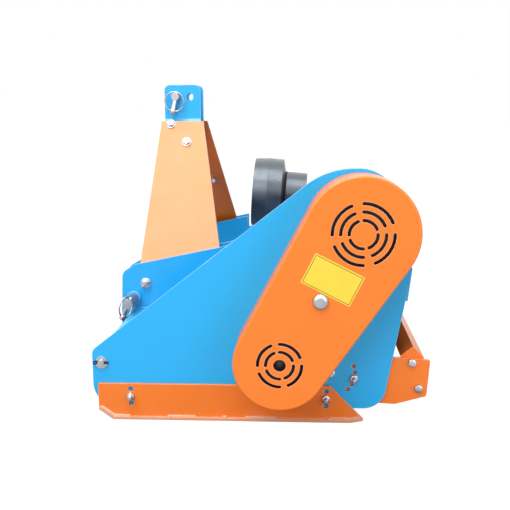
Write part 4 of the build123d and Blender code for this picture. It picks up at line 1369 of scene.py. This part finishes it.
@dataclass
class Studio:
    """Camera, floor, world and lamps.

    Args:
        eye: Place of the camera.
        yaw: Turn of the view to the left of Y, in degrees.
        pitch: Tilt of the view below level, in degrees.
        roll: Roll of the view, in degrees.
        focal: Focal length in picture widths.
        sensor: Width of the sensor in millimetres.
        ambient: Strength of the world's light on surfaces.
        low_gloss: Strength of the horizon in reflections.
        high_gloss: Strength of the zenith there.
        floor_half: Half the floor's side in metres.
        floor_tone: Grey of the floor where it lights the machine.
        floor_glow: Strength of the floor's own white, which only the eye and gloss see.
        camera_share: Share of that white for the eye, the rest is the lit floor.
        gloss_tone: Grey of the lit floor in reflections.
        gloss_share: Share of the white in reflections of the floor around the machine.
        gloss_ramp: Distances from the middle in metres over which that share sets in.
    """

    eye: Place = (44.04, -2072.0, 606.05)
    yaw: float = 3.523
    pitch: float = 9.926
    roll: float = 0.4
    focal: float = 800 / 510
    sensor: float = 36.0
    ambient: float = 0.61
    low_gloss: float = 0.95
    high_gloss: float = 1.8
    floor_half: float = 40.0
    floor_tone: float = 0.36
    floor_glow: float = 1.88
    camera_share: float = 0.5
    gloss_tone: float = 0.12
    gloss_share: float = 0.46
    gloss_ramp: Spot = (0.60, 0.78)

    def camera(self) -> None:
        """Camera at the eye: level and along Y, then rolled, tilted and turned."""
        data = bpy.data.cameras.new("camera")
        data.sensor_width = self.sensor
        data.lens = self.focal * self.sensor
        data.clip_end = 200
        camera = linked("camera", data)
        turn = spun("Z", self.yaw) @ spun("X", 90 - self.pitch) @ spun("Z", -self.roll)
        camera.matrix_world = posed(at(*self.eye), turn)
        bpy.context.scene.camera = camera

    def world(self) -> None:
        """White backdrop for the eye and a plain level of light for surfaces."""
        world = bpy.data.worlds.new("studio")
        world.use_nodes = True
        graph = Graph(world.node_tree)
        path = graph.path()
        mirrored = graph.ranged(graph.axes(graph.place())["Z"], 0.05, 0.5, self.low_gloss,
                                self.high_gloss)
        strength = graph.mixed_value(path["Is Glossy Ray"], self.ambient, mirrored)
        clear = graph.maths("MAXIMUM", path["Is Camera Ray"], path["Is Transmission Ray"])
        graph.fill(world.node_tree.nodes["Background"], {
            "Color": (1.0, 1.0, 1.0, 1.0), "Strength": graph.mixed_value(clear, strength, 1.0)})
        bpy.context.scene.world = world

    def floor(self) -> None:
        """White floor at the skids' soles that keeps a faint shadow."""
        reach = self.floor_half
        mesh = bpy.data.meshes.new("floor")
        corners = [(-reach, -reach, 0), (reach, -reach, 0), (reach, reach, 0), (-reach, reach, 0)]
        mesh.from_pydata(corners, [], [[0, 1, 2, 3]])
        material, graph, shader = started("floor_white")
        path = graph.path()
        mirrored = path["Is Glossy Ray"]
        tone = graph.mixed(mirrored, [self.floor_tone] * 3, [self.gloss_tone] * 3)
        graph.fill(shader, {"Roughness": 0.9, "Specular IOR Level": 0.0, "Base Color": tone})
        glow = graph.add("ShaderNodeEmission", {
            "Color": (1.0, 1.0, 1.0, 1.0), "Strength": self.floor_glow})
        away = graph.add("ShaderNodeVectorMath", {0: graph.place()}, operation="LENGTH")
        bright = graph.ranged(away.outputs["Value"], *self.gloss_ramp, 0.0, self.gloss_share)
        seen = graph.mixed_value(mirrored, graph.product(path["Is Camera Ray"],
                                                         self.camera_share), bright)
        mixer = graph.add("ShaderNodeMixShader", {0: seen, 1: shader.outputs[0],
                                                  2: glow.outputs[0]})
        output = next(n for n in material.node_tree.nodes if n.type == "OUTPUT_MATERIAL")
        graph.fill(output, {"Surface": mixer.outputs[0]})
        mesh.materials.append(material)
        linked("floor", mesh)

    def build(self) -> None:
        """Puts up the whole studio."""
        for part in (self.camera, self.world, self.floor, *(lamp.build for lamp in LAMPS)):
            part()


def main() -> None:
    """Builds the looks in order."""
    logging.basicConfig(level=logging.INFO, format="%(name)s %(message)s")
    bpy.context.scene.view_settings.view_transform = "Standard"
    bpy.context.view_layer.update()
    paintwork = Paintwork()
    paintwork.dress()
    for assembly in (*FRAME_BOLTS, Mast(), HitchPins(), Welds(), RotorTrim(), GearboxTrim(),
                     HousingBolts(), CoverPlate()):
        assembly.build(paintwork)
    Studio().build()


if __name__ == "__main__":
    main()
